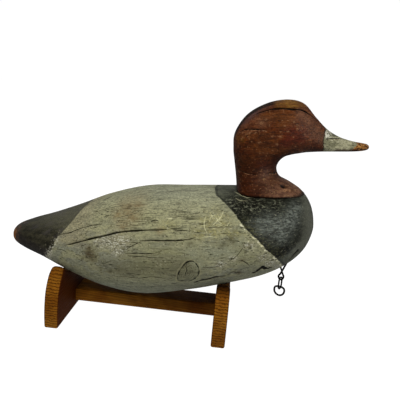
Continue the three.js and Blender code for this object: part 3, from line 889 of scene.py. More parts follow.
def loop_points(across, z, turn_degrees, lay=0.0):
    """Points of an upright loop that is turned about the plumb line of the tie."""
    turn = math.radians(turn_degrees)
    x = TIE_X + across * math.cos(turn) - lay * math.sin(turn)
    y = across * math.sin(turn) + lay * math.cos(turn)
    return np.stack(np.broadcast_arrays(x, y, z), -1)


def swept_wire(name, corners, radius, turn_degrees, closed, steps, seed):
    """A round wire along a smooth line through the corners: a circle in the plane across the
    line, a little rough with rust."""
    if closed:
        corners = np.concatenate([corners[-3:], corners, corners[:4]])
    knots = np.concatenate([[0], np.cumsum(np.linalg.norm(np.diff(corners, axis=0), axis=1) ** 0.5)])
    first, last = (knots[3], knots[-4]) if closed else (knots[0], knots[-1])
    fine = smooth(knots, corners, np.linspace(first, last, 8 * steps))
    line = spaced_evenly(fine, steps + 1)
    if closed:
        line = line[:-1]
        tangent = np.roll(line, -1, 0) - np.roll(line, 1, 0)
    else:
        tangent = np.gradient(line, axis=0)
    tangent /= np.linalg.norm(tangent, axis=1)[:, None]
    turn = math.radians(turn_degrees)
    across = np.cross(tangent, (-math.sin(turn), math.cos(turn), 0))
    across /= np.linalg.norm(across, axis=1)[:, None]
    other = np.cross(tangent, across)
    angle = np.linspace(0, 2 * np.pi, WIRE_SIDES, endpoint=False)
    ring = across[:, None] * np.cos(angle)[None, :, None] + other[:, None] * np.sin(angle)[None, :, None]
    rust = lattice_noise(line[:, None] + ring * radius, (1.1, 1.1, 1.1), seed)
    grid = line[:, None] + ring * (radius * (0.96 + 0.04 * rust))[..., None]
    if not closed:
        return closed_skin(name, grid, line[0], line[-1])
    return build_object(name, grid.reshape(-1, 3), grid_faces(steps, WIRE_SIDES, wrap_rows=True))


def tie_wire():
    """The staple: two legs from the breast that cross and close in an eye."""
    radius, half, top, bottom, turn = EYE.values()
    tops = []
    for x in (TIE_FRONT_LEG_X, TIE_REAR_LEG_X):
        tops.append((x, 0, float(underside_height(np.array(x), np.array(0.0))) + LEG_IN_WOOD))
    share = np.linspace(0, 1, 9)
    angle = np.radians(115 + 310 * share)
    eye = loop_points(half * np.cos(angle), (top + bottom) / 2 + (top - bottom) / 2 * np.sin(angle), turn,
                      TIE_LAY * (2 * share - 1))
    corners = np.concatenate([
        [tops[0]], [loop_points(TIE_NECK_HALF, TIE_NECK_Z, turn, -TIE_LAY)], eye,
        [loop_points(-TIE_NECK_HALF, TIE_NECK_Z, turn, TIE_LAY)], [tops[1]],
    ])
    return swept_wire("line_tie_staple", corners, radius, turn, False, 150, 31)


def swivel_link():
    """The link: a long loop with round ends, through the eye and the ring."""
    radius, half, top, bottom, turn = LINK.values()
    angle = np.pi * (np.arange(12) + 0.5) / 6
    end = np.where(np.sin(angle) > 0, top - half, bottom + half)
    corners = loop_points(half * np.cos(angle), end + half * np.sin(angle), turn)
    return swept_wire("tie_link", corners, radius, turn, True, 96, 37)


def anchor_ring():
    """The ring: round below and nearly flat across the top, where the link holds it."""
    radius, half, top, bottom, turn = RING.values()
    angle = np.pi * (np.arange(16) + 0.5) / 8
    above = np.sin(angle) > 0
    middle = bottom + half
    across = half * signed_power(np.cos(angle), np.where(above, 0.9, 1))
    rise = np.where(above, (top - middle) * signed_power(np.sin(angle), 0.62), half * np.sin(angle))
    return swept_wire("tie_ring", loop_points(across, middle + rise, turn), radius, turn, True, 120, 41)


# Finishes

class Nodes:
    """A node tree in the making, with short calls for the nodes that repeat in it."""

    def __init__(self, owner):
        owner.use_nodes = True
        self.tree = owner.node_tree
        self.tree.nodes.clear()

    def node(self, kind, inputs=(), **options):
        """A node with its options set and its inputs linked or given, by name or by number."""
        made = self.tree.nodes.new("ShaderNode" + kind)
        for key, value in options.items():
            setattr(made, key, value)
        for key, value in dict(inputs).items():
            socket = made.inputs[key]
            if isinstance(value, bpy.types.NodeSocket):
                self.tree.links.new(value, socket)
            elif socket.type == "RGBA":
                socket.default_value = (*value, 1)
            else:
                socket.default_value = value
        return made

    def math(self, operation, a, b=0.0, c=0.0):
        """A calculation with up to three values."""
        return self.node("Math", {0: a, 1: b, 2: c}, operation=operation).outputs[0]

    def add(self, a, b):
        return self.math("ADD", a, b)

    def less(self, a, b):
        return self.math("SUBTRACT", a, b)

    def times(self, a, b):
        return self.math("MULTIPLY", a, b)

    def unsigned(self, value):
        return self.math("ABSOLUTE", value)

    def scaled(self, value, factor, offset):
        """The value times the factor, with the offset added."""
        return self.math("MULTIPLY_ADD", value, factor, offset)

    def total(self, *weighted):
        """The sum of values, each given with its weight."""
        whole = self.times(*weighted[0])
        for value, weight in weighted[1:]:
            whole = self.add(whole, self.times(value, weight))
        return whole

    def most(self, *values):
        """The highest of the values."""
        top = values[0]
        for value in values[1:]:
            top = self.math("MAXIMUM", top, value)
        return top

    def level(self, value, low, high, bottom=0.0, top=1.0):
        """The bottom value at low, the top one at high, a smooth S between; low may be the
        higher one."""
        inputs = {"Value": value, "From Min": low, "From Max": high, "To Min": bottom, "To Max": top}
        return self.node("MapRange", inputs, interpolation_type="SMOOTHSTEP").outputs["Result"]

    def contrast(self, value, half=0.13):
        """The value with its range about a half stretched, from nought to one."""
        return self.level(value, 0.5 - half, 0.5 + half)

    def axes(self, vector):
        """A vector's three numbers."""
        return self.node("SeparateXYZ", {0: vector}).outputs


class Finish(Nodes):
    """A procedural material in the making."""

    def __init__(self, name):
        self.material = bpy.data.materials.new(name)
        super().__init__(self.material)
        self.place = self.node("TexCoord").outputs["Object"]

    def mix(self, share, a, b):
        """From colour a to colour b by a share."""
        return self.node("Mix", {0: share, 6: a, 7: b}, data_type="RGBA").outputs[2]

    def blend(self, share, first, second):
        """From one colour to another by a share, both given as shown on a screen."""
        return self.mix(share, linear(first), linear(second))

    def cover(self, colour, shown, *shares):
        """The colour covered by another, given as shown on a screen, by the product of shares."""
        share = shares[0]
        for other in shares[1:]:
            share = self.times(share, other)
        return self.mix(share, colour, linear(shown))

    def shade(self, colour, factor):
        """The colour made lighter or darker by a factor."""
        return self.node("VectorMath", {0: colour, "Scale": factor}, operation="SCALE").outputs[0]

    def values(self, name):
        """The three numbers of one of the piece's attributes."""
        return self.axes(self.node("Attribute", attribute_name=name).outputs["Vector"])

    def millimetres(self, carver=True):
        """Object coordinates in millimetres, in the carver's frame or over the floor."""
        inputs = {"Vector": self.place, "Scale": (MM, MM, MM)}
        if carver:
            inputs.update({"Location": (DUCK_X * MM, 0, DUCK_Z * MM), "Rotation": (0, -NOSE_UP, 0)})
        return self.node("Mapping", inputs, vector_type="TEXTURE").outputs[0]

    def noise(self, vector, grain, detail=3.0, roughness=0.55, shift=0.0, distortion=0.0):
        """Noise of this grain in millimetres, about a half."""
        grain = grain if isinstance(grain, tuple) else (grain, grain, grain)
        scale = tuple(1 / size for size in grain)
        moved = (shift, shift * 1.7, shift * 0.6)
        vector = self.node("Mapping", {"Vector": vector, "Location": moved, "Scale": scale}).outputs[0]
        inputs = {"Vector": vector, "Scale": 1.0, "Detail": detail, "Roughness": roughness,
                  "Distortion": distortion}
        return self.node("TexNoise", inputs).outputs["Fac"]

    def grains(self, vector, rows):
        """One noise for each row of a table of grains, with its contrast raised."""
        return [self.contrast(self.noise(vector, *row)) for row in rows]

    def scribble(self, vector, grain, width, shift):
        """Thin wandering lines, where a noise crosses a half."""
        field = self.noise(vector, grain, 2, 0.5, shift, 0.3)
        return self.level(self.unsigned(self.less(field, 0.5)), width, width * 0.3)

    def specks(self, vector, grain, low, high, shift, detail=2, roughness=0.5):
        """Spots or patches, where a noise of this grain stands above low, full at high."""
        return self.level(self.noise(vector, grain, detail, roughness, shift), low, high)

    def scatter(self, vector, *rows):
        """Several kinds of specks together, each given by its grain, low, high and shift."""
        return self.most(*(self.specks(vector, *row) for row in rows))

    def flecks(self, colour, vector, *rows):
        """The colour with small spots over it. Each row gives the spots' colour, the grain, low,
        high and shift of their noise, and their shares."""
        for shown, grain, low, high, shift, *shares in rows:
            colour = self.cover(colour, shown, self.specks(vector, grain, low, high, shift), *shares)
        return colour

    def ragged(self, vector, grain, detail, roughness, shift):
        """Noise about nought, for uneven edges."""
        return self.less(self.noise(vector, grain, detail, roughness, shift), 0.5)

    def surface(self, colour, roughness, height, bump=0.3, **gloss):
        """Closes the material: its colour, roughness, a bump of so many millimetres, and gloss."""
        made = self.node("Bump", {"Height": height, "Strength": 1.0, "Distance": bump * MM})
        inputs = {"Base Color": colour, "Roughness": roughness, "Normal": made.outputs[0]}
        shader = self.node("BsdfPrincipled", {**inputs, **gloss})
        self.node("OutputMaterial", {"Surface": shader.outputs[0]}).is_active_output = True
        return self.material


def split_layer(f, name="split"):
    """How much of a point is the open split, and how much its lip, from the split values."""
    distance, half, near = f.values(name)
    edge = f.times(half, near)
    beyond = f.less(f.unsigned(distance), edge)
    opened = f.times(f.level(beyond, 0.1, -0.12), f.level(edge, 0.03, 0.12))
    lip = f.times(f.level(beyond, 0.9, 0.2), f.level(edge, 0.05, 0.3))
    return opened, lip, distance


def grey_paint(f, at, grain):
    """The body's old grey: patches, streaks along the grain, hairlines, specks and stains, with painted
    light on its top and its underside.
    """
    look = settings()
    x, _, z = f.axes(at)
    streak, fine, patch, grit = grain
    broad = f.contrast(f.noise(at, (70, 45, 26), 2, 0.5, 3.1))
    colour = f.blend(broad, look.grey_cool, look.grey_olive)
    colour = f.cover(colour, look.grey, f.contrast(patch, 0.2))
    # Painted light: the top of the back paler, as lit from above
    colour = f.cover(colour, (0.585, 0.595, 0.49), f.level(z, 126, 144), 0.8)
    colour = f.cover(colour, (0.57, 0.565, 0.43), f.level(z, 104, 120), f.level(z, 148, 134), 0.6)
    # Painted light: the underside paler, as lit from the floor below
    colour = f.cover(colour, (0.515, 0.525, 0.435), f.level(z, 76, 52), 0.8)
    colour = f.cover(colour, (0.545, 0.51, 0.41), f.level(x, -82, -108), f.level(z, 94, 104), 0.5)
    tone = f.total((streak, 0.18), (fine, 0.2), (patch, 0.14), (grit, 0.34))
    bolder = f.times(f.level(z, 108, 128), f.scaled(f.add(fine, grit), 0.2, -0.2))
    colour = f.shade(colour, f.add(f.add(tone, bolder), 0.62))

    # Stains, rubbed patches and the band low on the side, grime darkened further with painted shade
    stain, rust, pale = f.values("wear")
    yellow, smudge, _ = f.values("rub")
    grime_and_shade, _, mint = f.values("zones")
    broken = f.specks(at, (7, 4, 4), 0.38, 0.6, 2.4, 4, 0.65)
    colour = f.cover(colour, (0.37, 0.36, 0.27), grime_and_shade, f.scaled(patch, 0.4, 0.5))
    colour = f.cover(colour, (0.505, 0.43, 0.29), rust, f.scaled(broken, 0.4, 0.5), 0.85)
    colour = f.cover(colour, (0.285, 0.235, 0.135), stain, f.scaled(broken, 0.5, 0.5), 0.95)
    colour = f.cover(colour, (0.54, 0.515, 0.43), pale, 0.55)
    colour = f.flecks(colour, at, ((0.80, 0.80, 0.725), (1.7, 1.5, 1.4), 0.52, 0.57, 4.6, pale, 0.9))
    colour = f.cover(colour, (0.545, 0.555, 0.455), mint, 0.65)
    colour = f.flecks(
        colour, at,
        ((0.64, 0.655, 0.55), (2.2, 1.8, 1.6), 0.56, 0.64, 7.3, mint, 0.6),
        ((0.40, 0.37, 0.28), (2.6, 2, 1.8), 0.6, 0.68, 6.3, pale, 0.6))
    colour = f.cover(colour, (0.56, 0.54, 0.34), yellow, broken, 0.65)
    colour = f.flecks(
        colour, at,
        ((0.68, 0.65, 0.42), (2.4, 2, 2), 0.57, 0.66, 8.9, yellow, 0.7),
        ((0.36, 0.34, 0.22), (2.2, 2, 2), 0.6, 0.68, 12.9, yellow, 0.75))

    # Hairline checks along the grain, in broken runs, and dark and pale specks
    checks = f.scatter(at, ((26, 1.5, 1.15), 0.61, 0.67, 11.4), ((13, 1.3, 1.0), 0.63, 0.69, 17.6))
    runs = f.specks(at, (26, 14, 9), 0.44, 0.56, 13.2, 2, 0.6)
    checks = f.times(checks, f.scaled(runs, 0.75, 0.25))
    colour = f.cover(colour, (0.16, 0.15, 0.08), checks, 0.85)
    dents = f.specks(at, (3.4, 2, 1.7), 0.665, 0.71, 15.8)
    colour = f.cover(colour, (0.19, 0.18, 0.11), dents, 0.8)
    higher = f.scaled(f.level(z, 88, 100), 0.45, 0.35)
    colour = f.flecks(
        colour, at,
        ((0.25, 0.24, 0.155), (2.2, 1.8, 1.6), 0.635, 0.675, 23.8, 0.75),
        ((0.70, 0.69, 0.57), (2.3, 1.8, 1.6), 0.655, 0.7, 19.1, higher))
    colour = f.cover(colour, (0.25, 0.235, 0.15), smudge, f.scaled(broken, 0.5, 0.4))
    return colour, f.add(checks, f.times(dents, 0.8))


def knot_paint(f, at, colour, knot):
    """A knot's dark outline, with its growth rings inside."""
    wobble = f.times(f.ragged(at, 5, 2, 0.5, 21.0), 1.6)
    ring_at = f.add(knot, wobble)
    breaks = f.specks(at, 5, 0.38, 0.56, 21.6)
    stroke = f.less(f.unsigned(ring_at), f.times(breaks, 0.5))
    outline = f.times(f.level(stroke, 0.38, 0.12), f.scaled(breaks, 0.3, 0.7))
    inside = f.level(ring_at, 0.0, -0.8)
    ring = f.level(f.math("SINE", f.times(f.add(knot, f.times(wobble, 1.5)), 2.9)), 0.4, 0.98)
    halo = f.level(f.unsigned(f.add(ring_at, -1.5)), 0.9, 0.3)
    colour = f.cover(colour, (0.46, 0.455, 0.35), inside, 0.2)
    colour = f.cover(colour, (0.25, 0.24, 0.16), ring, inside, breaks, 0.7)
    colour = f.cover(colour, (0.60, 0.58, 0.44), halo, 0.45)
    return f.cover(colour, (0.07, 0.065, 0.03), outline, 0.97), outline


def tail_paint(f, at, colour, tail, grain):
    """Dark paint over the tail, streaked along the grain and worn to orange wood at its tip, with painted
    light on top, painted shade low down and a painted violet sheen.
    """
    look = settings()
    x, _, z = f.axes(at)
    streak, fine, patch, grit = grain
    ragged = f.ragged(at, (5, 3.5, 3.5), 4, 0.7, 25.0)
    tail_at = f.add(tail, f.times(ragged, f.scaled(f.level(z, 110, 98), 9.0, 1.6)))
    on_tail = f.level(tail_at, -0.25, 0.25)
    tone = f.blend(streak, look.tail_dark, look.tail_brown)
    # Painted light on the tail's top, and painted shade low on it
    tone = f.cover(tone, (0.365, 0.36, 0.28), f.level(z, 104, 120), 0.66)
    tone = f.cover(tone, (0.15, 0.13, 0.13), f.level(f.add(z, f.times(x, 0.2)), 66, 58), 0.6)
    tone = f.shade(tone, f.scaled(f.add(f.add(fine, patch), grit), 0.26, 0.62))
    # Painted violet sheen in specks on the tail's upper side
    painted_violet_sheen = f.specks(at, (14, 8, 8), 0.5, 0.64, 26.0, 3, 0.5)
    tone = f.cover(tone, (0.33, 0.31, 0.31), painted_violet_sheen, f.level(z, 98, 106), 0.3)
    worn = f.level(f.add(x, f.times(ragged, 12.0)), -180, -189)
    tone = f.flecks(
        tone, at,
        ((0.52, 0.51, 0.42), (3.0, 2.0, 1.6), 0.64, 0.7, 27.5, f.level(tail, 30, 3), 0.6),
        ((0.38, 0.29, 0.24), (3, 2, 2), 0.45, 0.6, 28.1, worn, 0.8))
    bare = f.times(f.level(f.add(x, f.times(ragged, 9.0)), -187.5, -192.5), f.level(z, 103, 98))
    tone = f.cover(tone, look.bare_wood, bare, 0.9)
    tone = f.flecks(tone, at, ((0.20, 0.11, 0.05), (2, 1.5, 1.5), 0.5, 0.6, 28.8, bare, 0.6))
    colour = f.mix(on_tail, colour, tone)
    by_edge = f.times(f.level(f.unsigned(f.add(tail_at, 1.0)), 5.5, 1.0), f.level(z, 108, 99))
    chips = ((0.74, 0.73, 0.66), (2.4, 1.8, 1.8), 0.53, 0.58, 29.4, by_edge, 0.9)
    return f.flecks(colour, at, chips), on_tail


def breast_paint(f, at, colour, breast, grain):
    """Black paint over the breast: brushed along the grain, scuffed behind the head and rubbed at its
    edge, with a painted highlight, a painted rim light and painted shade low on the side."""
    look = settings()
    x, y, z = f.axes(at)
    _, fine, _, grit = grain
    _, sheen, scrubbed = f.values("zones")
    wear = f.ragged(at, (4.5, 2.4, 2.4), 4, 0.7, 33.0)
    breast_at = f.add(breast, f.times(wear, 2.4))
    black = f.level(breast_at, -0.25, 0.25)
    brush = f.contrast(f.noise(at, (34, 3.4, 1.5), 4, 0.7, 35.0))
    cloud = f.contrast(f.noise(at, (24, 14, 10), 3, 0.6, 37.0))
    tone = f.blend(f.total((brush, 0.372), (cloud, 0.248)), look.black, look.black_rubbed)
    # Painted highlight where the breast's rubbed black catches the lights
    tone = f.cover(tone, (0.43, 0.455, 0.42), sheen, f.scaled(brush, 0.7, 0.25))
    tone = f.shade(tone, f.scaled(f.add(fine, grit), 0.74, 0.26))

    # Scuffs: grey behind the head, and fine strokes and nicks on deep black under the neck
    behind = f.times(f.level(x, 62, 40), f.level(z, 130, 142))
    scuff = f.scaled(f.specks(at, (9, 5, 3), 0.42, 0.6, 39.0, 5, 0.75), 0.6, 0.35)
    tone = f.cover(tone, (0.4, 0.415, 0.335), behind, scuff)
    tone = f.cover(tone, (0.036, 0.04, 0.022), scrubbed, 0.95)
    strokes = f.scatter(at, ((4.6, 2.4, 1.2), 0.6, 0.63, 44.4), ((1.6, 1.6, 3.6), 0.62, 0.65, 45.9))
    strokes = f.times(strokes, f.scaled(f.level(z, 129, 136), 0.8, 0.2))
    tone = f.cover(tone, (0.53, 0.545, 0.455), strokes, scrubbed, 0.75)
    hatch = f.most(f.scribble(at, (11, 9, 3.4), 0.03, 40.2), f.scribble(at, (5, 5, 7), 0.022, 43.7))
    tone = f.cover(tone, (0.42, 0.435, 0.35), hatch, scrubbed, f.specks(at, 5, 0.5, 0.6, 41.6), 0.45)
    nicks = f.scatter(at, ((9, 1.6, 1.1), 0.63, 0.68, 46.3), ((2.2, 1.8, 4.5), 0.67, 0.71, 47.9))
    tone = f.cover(tone, (0.42, 0.43, 0.36), nicks, f.specks(at, 13, 0.46, 0.6, 48.4), 0.7)

    # Painted shade low on the side, dust, and a painted rim light on the front, which is weakest in the
    # middle
    painted_low_shade = f.times(f.times(f.level(z, 101, 94), f.level(z, 85, 90)), f.level(x, 82, 92))
    tone = f.cover(tone, (0.02, 0.022, 0.013), painted_low_shade, f.level(x, 112, 102), 0.75)
    tone = f.flecks(tone, at, ((0.56, 0.56, 0.48), (3.0, 2.0, 1.6), 0.645, 0.7, 41.0, 0.65))
    # Painted rim light: the breast's front edge lighter, as lit from below
    painted_rim_light_at = f.add(f.add(x, f.times(wear, 10.0)), f.times(f.level(z, 108, 78), 21.0))
    middle = f.times(f.level(f.unsigned(y), 26, 6), f.level(cloud, 0.75, 0.35))
    painted_rim_light_share = f.times(f.scaled(brush, 0.35, 0.62), f.scaled(middle, -0.55, 1))
    tone = f.cover(tone, (0.42, 0.43, 0.37), f.level(painted_rim_light_at, 115, 129), painted_rim_light_share)

    # The edge: rubbed inside, with a dark line and the light beads that the brush left
    by_edge = f.times(f.level(breast, 12, 1), f.level(z, 132, 124))
    rubbed = f.specks(at, (4, 2.4, 2.2), 0.46, 0.62, 43.0, 4, 0.7)
    tone = f.cover(tone, (0.37, 0.37, 0.24), by_edge, rubbed, 0.7)
    colour = f.mix(black, colour, tone)
    line = f.level(f.unsigned(f.add(breast_at, -1.3)), 1.3, 0.4)
    colour = f.cover(colour, (0.10, 0.10, 0.075), line, 0.55)
    bead = f.times(f.level(f.unsigned(f.add(breast_at, 0.8)), 1.2, 0.4),
                   f.specks(at, (4.4, 3, 3), 0.5, 0.56, 45.0, 3, 0.6))
    return f.cover(colour, (0.88, 0.87, 0.74), bead, f.level(z, 131, 121), 0.9), black


def body_finish():
    """Old grey paint over weathered wood, with a worn black breast and a dark tail."""
    f = Finish("body_old_paint")
    at = f.millimetres()
    grain = f.grains(at, BODY_GRAIN)
    streak, fine, patch, grit = grain
    breast, tail, knot = f.values("edges")
    colour, dug = grey_paint(f, at, grain)
    colour, outline = knot_paint(f, at, colour, knot)
    colour, on_tail = tail_paint(f, at, colour, tail, grain)
    colour, black = breast_paint(f, at, colour, breast, grain)
    scratched, _, _ = split_layer(f, "scratch")
    colour = f.cover(colour, (0.82, 0.81, 0.64), scratched, 0.8)
    opened, lip, distance = split_layer(f)
    # Painted highlight along one lip of each split
    colour = f.cover(colour, (0.64, 0.62, 0.48), lip, f.level(distance, 0.4, -0.4), 0.4)
    _, _, slot = f.values("rub")
    colour = f.cover(colour, (0.06, 0.055, 0.025), f.most(opened, slot), 0.97)
    rough = f.add(f.scaled(patch, 0.14, 0.5), f.times(f.most(black, on_tail), -0.14))
    height = f.total((fine, 0.28), (streak, 0.34), (grit, 0.26), (dug, -0.7), (outline, -0.7))
    return f.surface(colour, rough, height, 0.4, **PAINT_GLOSS)


def bill_paint(f, at, grain):
    """The bill: grey-green with dark chips, dark below, and bare mottled wood at its tip."""
    look = settings()
    z = f.axes(at)[2]
    _, fine, patch, grit = grain
    bill, tip, _ = f.values("edges")
    _, _, lip_line = f.values("rub")
    ragged = f.ragged(at, 3.2, 3, 0.65, 22.0)
    bill_at = f.add(bill, f.times(ragged, 1.6))
    tone = f.blend(f.times(f.contrast(patch, 0.3), 0.75), look.bill, look.bill_dark)
    tone = f.shade(tone, f.scaled(f.add(fine, grit), 0.32, 0.7))
    tone = f.cover(tone, (0.29, 0.28, 0.21), f.level(z, 201.2, 203.5), f.level(z, 217, 208), 0.75)
    by_base = f.times(f.times(f.level(bill, 8, 2), f.level(z, 200.5, 202.5)), f.level(z, 211, 206))
    tone = f.flecks(
        tone, at,
        ((0.19, 0.18, 0.12), (2.4, 1.6, 1.3), 0.605, 0.66, 24.0, 0.8),
        ((0.72, 0.71, 0.62), (2.0, 1.6, 1.2), 0.645, 0.7, 24.8, 0.65),
        ((0.86, 0.85, 0.78), 2.4, 0.42, 0.5, 26.0, by_base, 0.85))
    ochre = f.blend(patch, look.bill_tip, look.bill_tip_dark)
    ochre = f.flecks(
        ochre, at,
        ((0.70, 0.52, 0.28), (2.6, 2.2, 1.8), 0.55, 0.61, 27.2, 0.75),
        ((0.15, 0.075, 0.03), (3.0, 2.4, 2.0), 0.53, 0.58, 25.3, 0.9))
    tone = f.mix(f.level(f.add(tip, f.times(ragged, 12.0)), -0.4, 0.8), tone, ochre)
    tone = f.cover(tone, (0.20, 0.09, 0.05), lip_line, f.specks(at, 3, 0.28, 0.42, 28.0, 3, 0.6), 0.9)
    return tone, f.level(bill_at, -0.2, 0.2), bill_at, ragged


def head_finish():
    """Red-brown paint worn golden on the crown, with a grey-green bill bare at its tip."""
    look = settings()
    f = Finish("head_old_paint")
    at = f.millimetres()
    x, _, z = f.axes(at)
    grain = f.grains(at, HEAD_GRAIN)
    streak, fine, patch, grit = grain
    crown, nape_spot, foot = f.values("wear")
    hole, chip, _ = f.values("rub")
    deep, painted_ridge_sheen, golden = f.values("tone")
    painted_brow_sheen, back, nape = f.values("sheen")
    broad = f.contrast(f.noise(at, (30, 22, 20), 3, 0.55, 2.2))
    colour = f.blend(broad, look.red, look.red_worn)
    colour = f.cover(colour, look.red_deep, patch, 0.62)
    colour = f.cover(colour, look.red_bright, deep, f.scaled(patch, 0.4, 0.45))
    colour = f.cover(colour, (0.37, 0.21, 0.07), golden, f.scaled(streak, 0.35, 0.25))
    # Painted shade: the neck and the back of the head darker low down
    colour = f.cover(colour, look.red_deep, f.level(f.add(z, f.times(x, 0.35)), 222, 196), 0.85)
    # Painted sheen on the brow and the cheek by the bill
    colour = f.cover(colour, (0.425, 0.275, 0.185), painted_brow_sheen, f.scaled(patch, 0.35, 0.45))
    colour = f.cover(colour, (0.23, 0.115, 0.075), nape, f.scaled(patch, 0.3, 0.6))
    tone = f.total((streak, 0.42), (fine, 0.34), (grit, 0.42))
    colour = f.shade(colour, f.add(tone, 0.38))

    # Worn places: the neck's foot and the back of the head; and a painted sheen along the crown's ridge
    thin = f.specks(at, (8, 4, 3), 0.4, 0.6, 12.0, 4, 0.65)
    colour = f.cover(colour, look.foot_worn, foot, f.scaled(thin, 0.6, 0.35), 0.95)
    colour = f.cover(colour, look.gold_worn, nape_spot, thin, 0.6)
    colour = f.cover(colour, (0.37, 0.27, 0.26), painted_ridge_sheen, f.scaled(thin, 0.4, 0.5), 0.8)
    colour = f.cover(colour, (0.085, 0.06, 0.04), back, f.scaled(streak, 0.2, 0.78))
    bald = f.times(crown, f.scaled(thin, 0.6, 0.4))
    colour = f.cover(colour, look.gold_worn, bald)
    colour = f.cover(colour, (0.26, 0.14, 0.05), bald, fine, 0.7)

    # Scratches, streaks, flecks and nicks
    scratch = f.scribble(at, (13, 8, 5), 0.012, 14.0)
    colour = f.cover(colour, (0.52, 0.34, 0.20), scratch, f.specks(at, 7, 0.5, 0.6, 16.0), 0.5)
    colour = f.flecks(
        colour, at,
        ((0.55, 0.38, 0.25), (2.8, 1.8, 1.5), 0.655, 0.7, 18.0, 0.7),
        ((0.16, 0.055, 0.02), (9, 1.6, 1.1), 0.6, 0.66, 50.5, f.specks(at, 15, 0.42, 0.56, 51.2), 0.6),
        ((0.66, 0.52, 0.34), (2.2, 2, 1.6), 0.6, 0.67, 18.7, foot, 0.6))
    nicks = f.specks(at, (3.6, 2, 1.5), 0.645, 0.7, 20.0)
    colour = f.cover(colour, (0.14, 0.06, 0.03), nicks, 0.7)

    # The bill, and the broken dark line round its base
    tone, on_bill, bill_at, ragged = bill_paint(f, at, grain)
    colour = f.mix(on_bill, colour, tone)
    base_line = f.level(f.unsigned(f.add(bill_at, 0.3)), 1.2, 0.3)
    colour = f.cover(colour, (0.13, 0.09, 0.05), base_line, f.specks(at, 3, 0.4, 0.52, 30.0), 0.75)

    # The seam at the neck's foot, the nail hole with its chipped rim, and the splits
    _, _, seam = f.values("edges")
    crumbs = f.specks(at, (1.9, 1.4, 1.2), 0.42, 0.54, 32.0, 3, 0.6)
    colour = f.cover(colour, (0.62, 0.45, 0.31), chip, crumbs, 0.85)
    seam_line = f.level(f.add(seam, f.times(ragged, 2.0)), 2.2, 0.6)
    colour = f.cover(colour, (0.08, 0.05, 0.03), seam_line, 0.9)
    opened, lip, distance = split_layer(f)
    # Painted highlight on one lip of each split, in broken specks
    lit = f.times(f.level(distance, 0.3, -0.3), f.specks(at, 4, 0.42, 0.58, 34.0, 3, 0.6))
    colour = f.cover(colour, (0.62, 0.44, 0.31), lip, lit, 0.75)
    colour = f.cover(colour, (0.06, 0.035, 0.02), f.most(opened, hole), 0.97)
    rough = f.add(f.scaled(patch, 0.16, 0.4), f.times(on_bill, 0.1))
    height = f.total((fine, 0.26), (streak, 0.34), (grit, 0.26), (nicks, -0.5))
    return f.surface(colour, rough, height, 0.32, **PAINT_GLOSS)


def stand_finish(name, grain_axis, bold):
    """Varnished pine: growth lines along the grain, as bold as asked, fine fibres, and painted shade on
    the boards' broad faces with painted light low on them."""
    look = settings()
    f = Finish(name)
    at = f.millimetres(carver=False)
    x, y, z = f.axes(at)
    long = tuple(60 if axis == grain_axis else 5.0 for axis in "xyz")
    hair = tuple(26 if axis == grain_axis else 1.1 for axis in "xyz")
    warp = f.noise(at, long, 3, 0.55, 3.0)
    lines_at = f.total((z, 2.25), (warp, 10.0), (f.add(x, y), 0.12))
    late = f.level(f.math("SINE", lines_at), 0.1, 0.85)
    fibre = f.contrast(f.noise(at, hair, 3, 0.6, 6.0))
    broad = f.contrast(f.noise(at, 30, 3, 0.6, 9.0))
    colour = f.blend(broad, look.varnish, look.varnish_dark)
    colour = f.cover(colour, look.varnish_line, late, f.scaled(fibre, 0.45 * bold, 0.55 * bold))
    colour = f.shade(colour, f.scaled(fibre, 0.3, 0.85))
    # Painted shade on the boards' broad faces, which lie in the duck's shadow
    facing = f.axes(f.node("TexCoord").outputs["Normal"])[0]
    broadside = f.level(f.unsigned(facing), 0.6, 0.9)
    colour = f.cover(colour, look.face_painted_shade, broadside, 0.85)
    # Painted light low on the broad faces, where light passes under the belly
    colour = f.cover(colour, (0.36, 0.175, 0.03), broadside, f.level(z, 26, 6), 0.55)

    # Painted shade: the rail darker towards the front, under the breast, and a painted shadow of the duck
    # on the top of the front board
    if grain_axis == "x":
        colour = f.cover(colour, (0.26, 0.10, 0.01), f.level(x, -60, 40), 0.6)
    colour = f.cover(colour, (0.07, 0.025, 0.005), f.level(x, 20, 30), f.level(z, 50, 61), 0.9)
    rough = f.scaled(fibre, 0.15, 0.42)
    return f.surface(colour, rough, f.add(f.times(late, -0.4), fibre), 0.1, **DULL_GLOSS)


def iron_finish():
    """Wire gone nearly black, with brown rust in its pits."""
    look = settings()
    f = Finish("dark_rusted_wire")
    at = f.millimetres(carver=False)
    blot = f.noise(at, 1.6, 4, 0.65, 2.0)
    grit = f.noise(at, 0.5, 3, 0.6, 4.0)
    rust = f.level(blot, 0.5, 0.68)
    colour = f.shade(f.blend(rust, look.iron, look.rust), f.scaled(grit, 0.8, 0.6))
    return f.surface(colour, f.scaled(rust, 0.3, 0.45), f.add(blot, grit), 0.12, **DULL_GLOSS)


def floor_finish():
    """Smooth studio paper, lit from within so that it shows plain white."""
    f = Finish("pale_paper")
    grain = f.noise(f.millimetres(carver=False), 30, 2, 0.5, 1.0)
    paper = linear(settings().floor_tint)
    glow = {"Specular IOR Level": 0.0, "Emission Color": paper, "Emission Strength": PAPER_GLOW}
    return f.surface(f.shade(paper, f.scaled(grain, 0.02, 0.15)), 0.9, grain, 0.05, **glow)


# The add-on

def tint(name, description, default):
    """A colour property, as shown on a screen."""
    return bpy.props.FloatVectorProperty(
        name=name, description=description, default=default, subtype="COLOR_GAMMA", size=3, min=0, max=1)


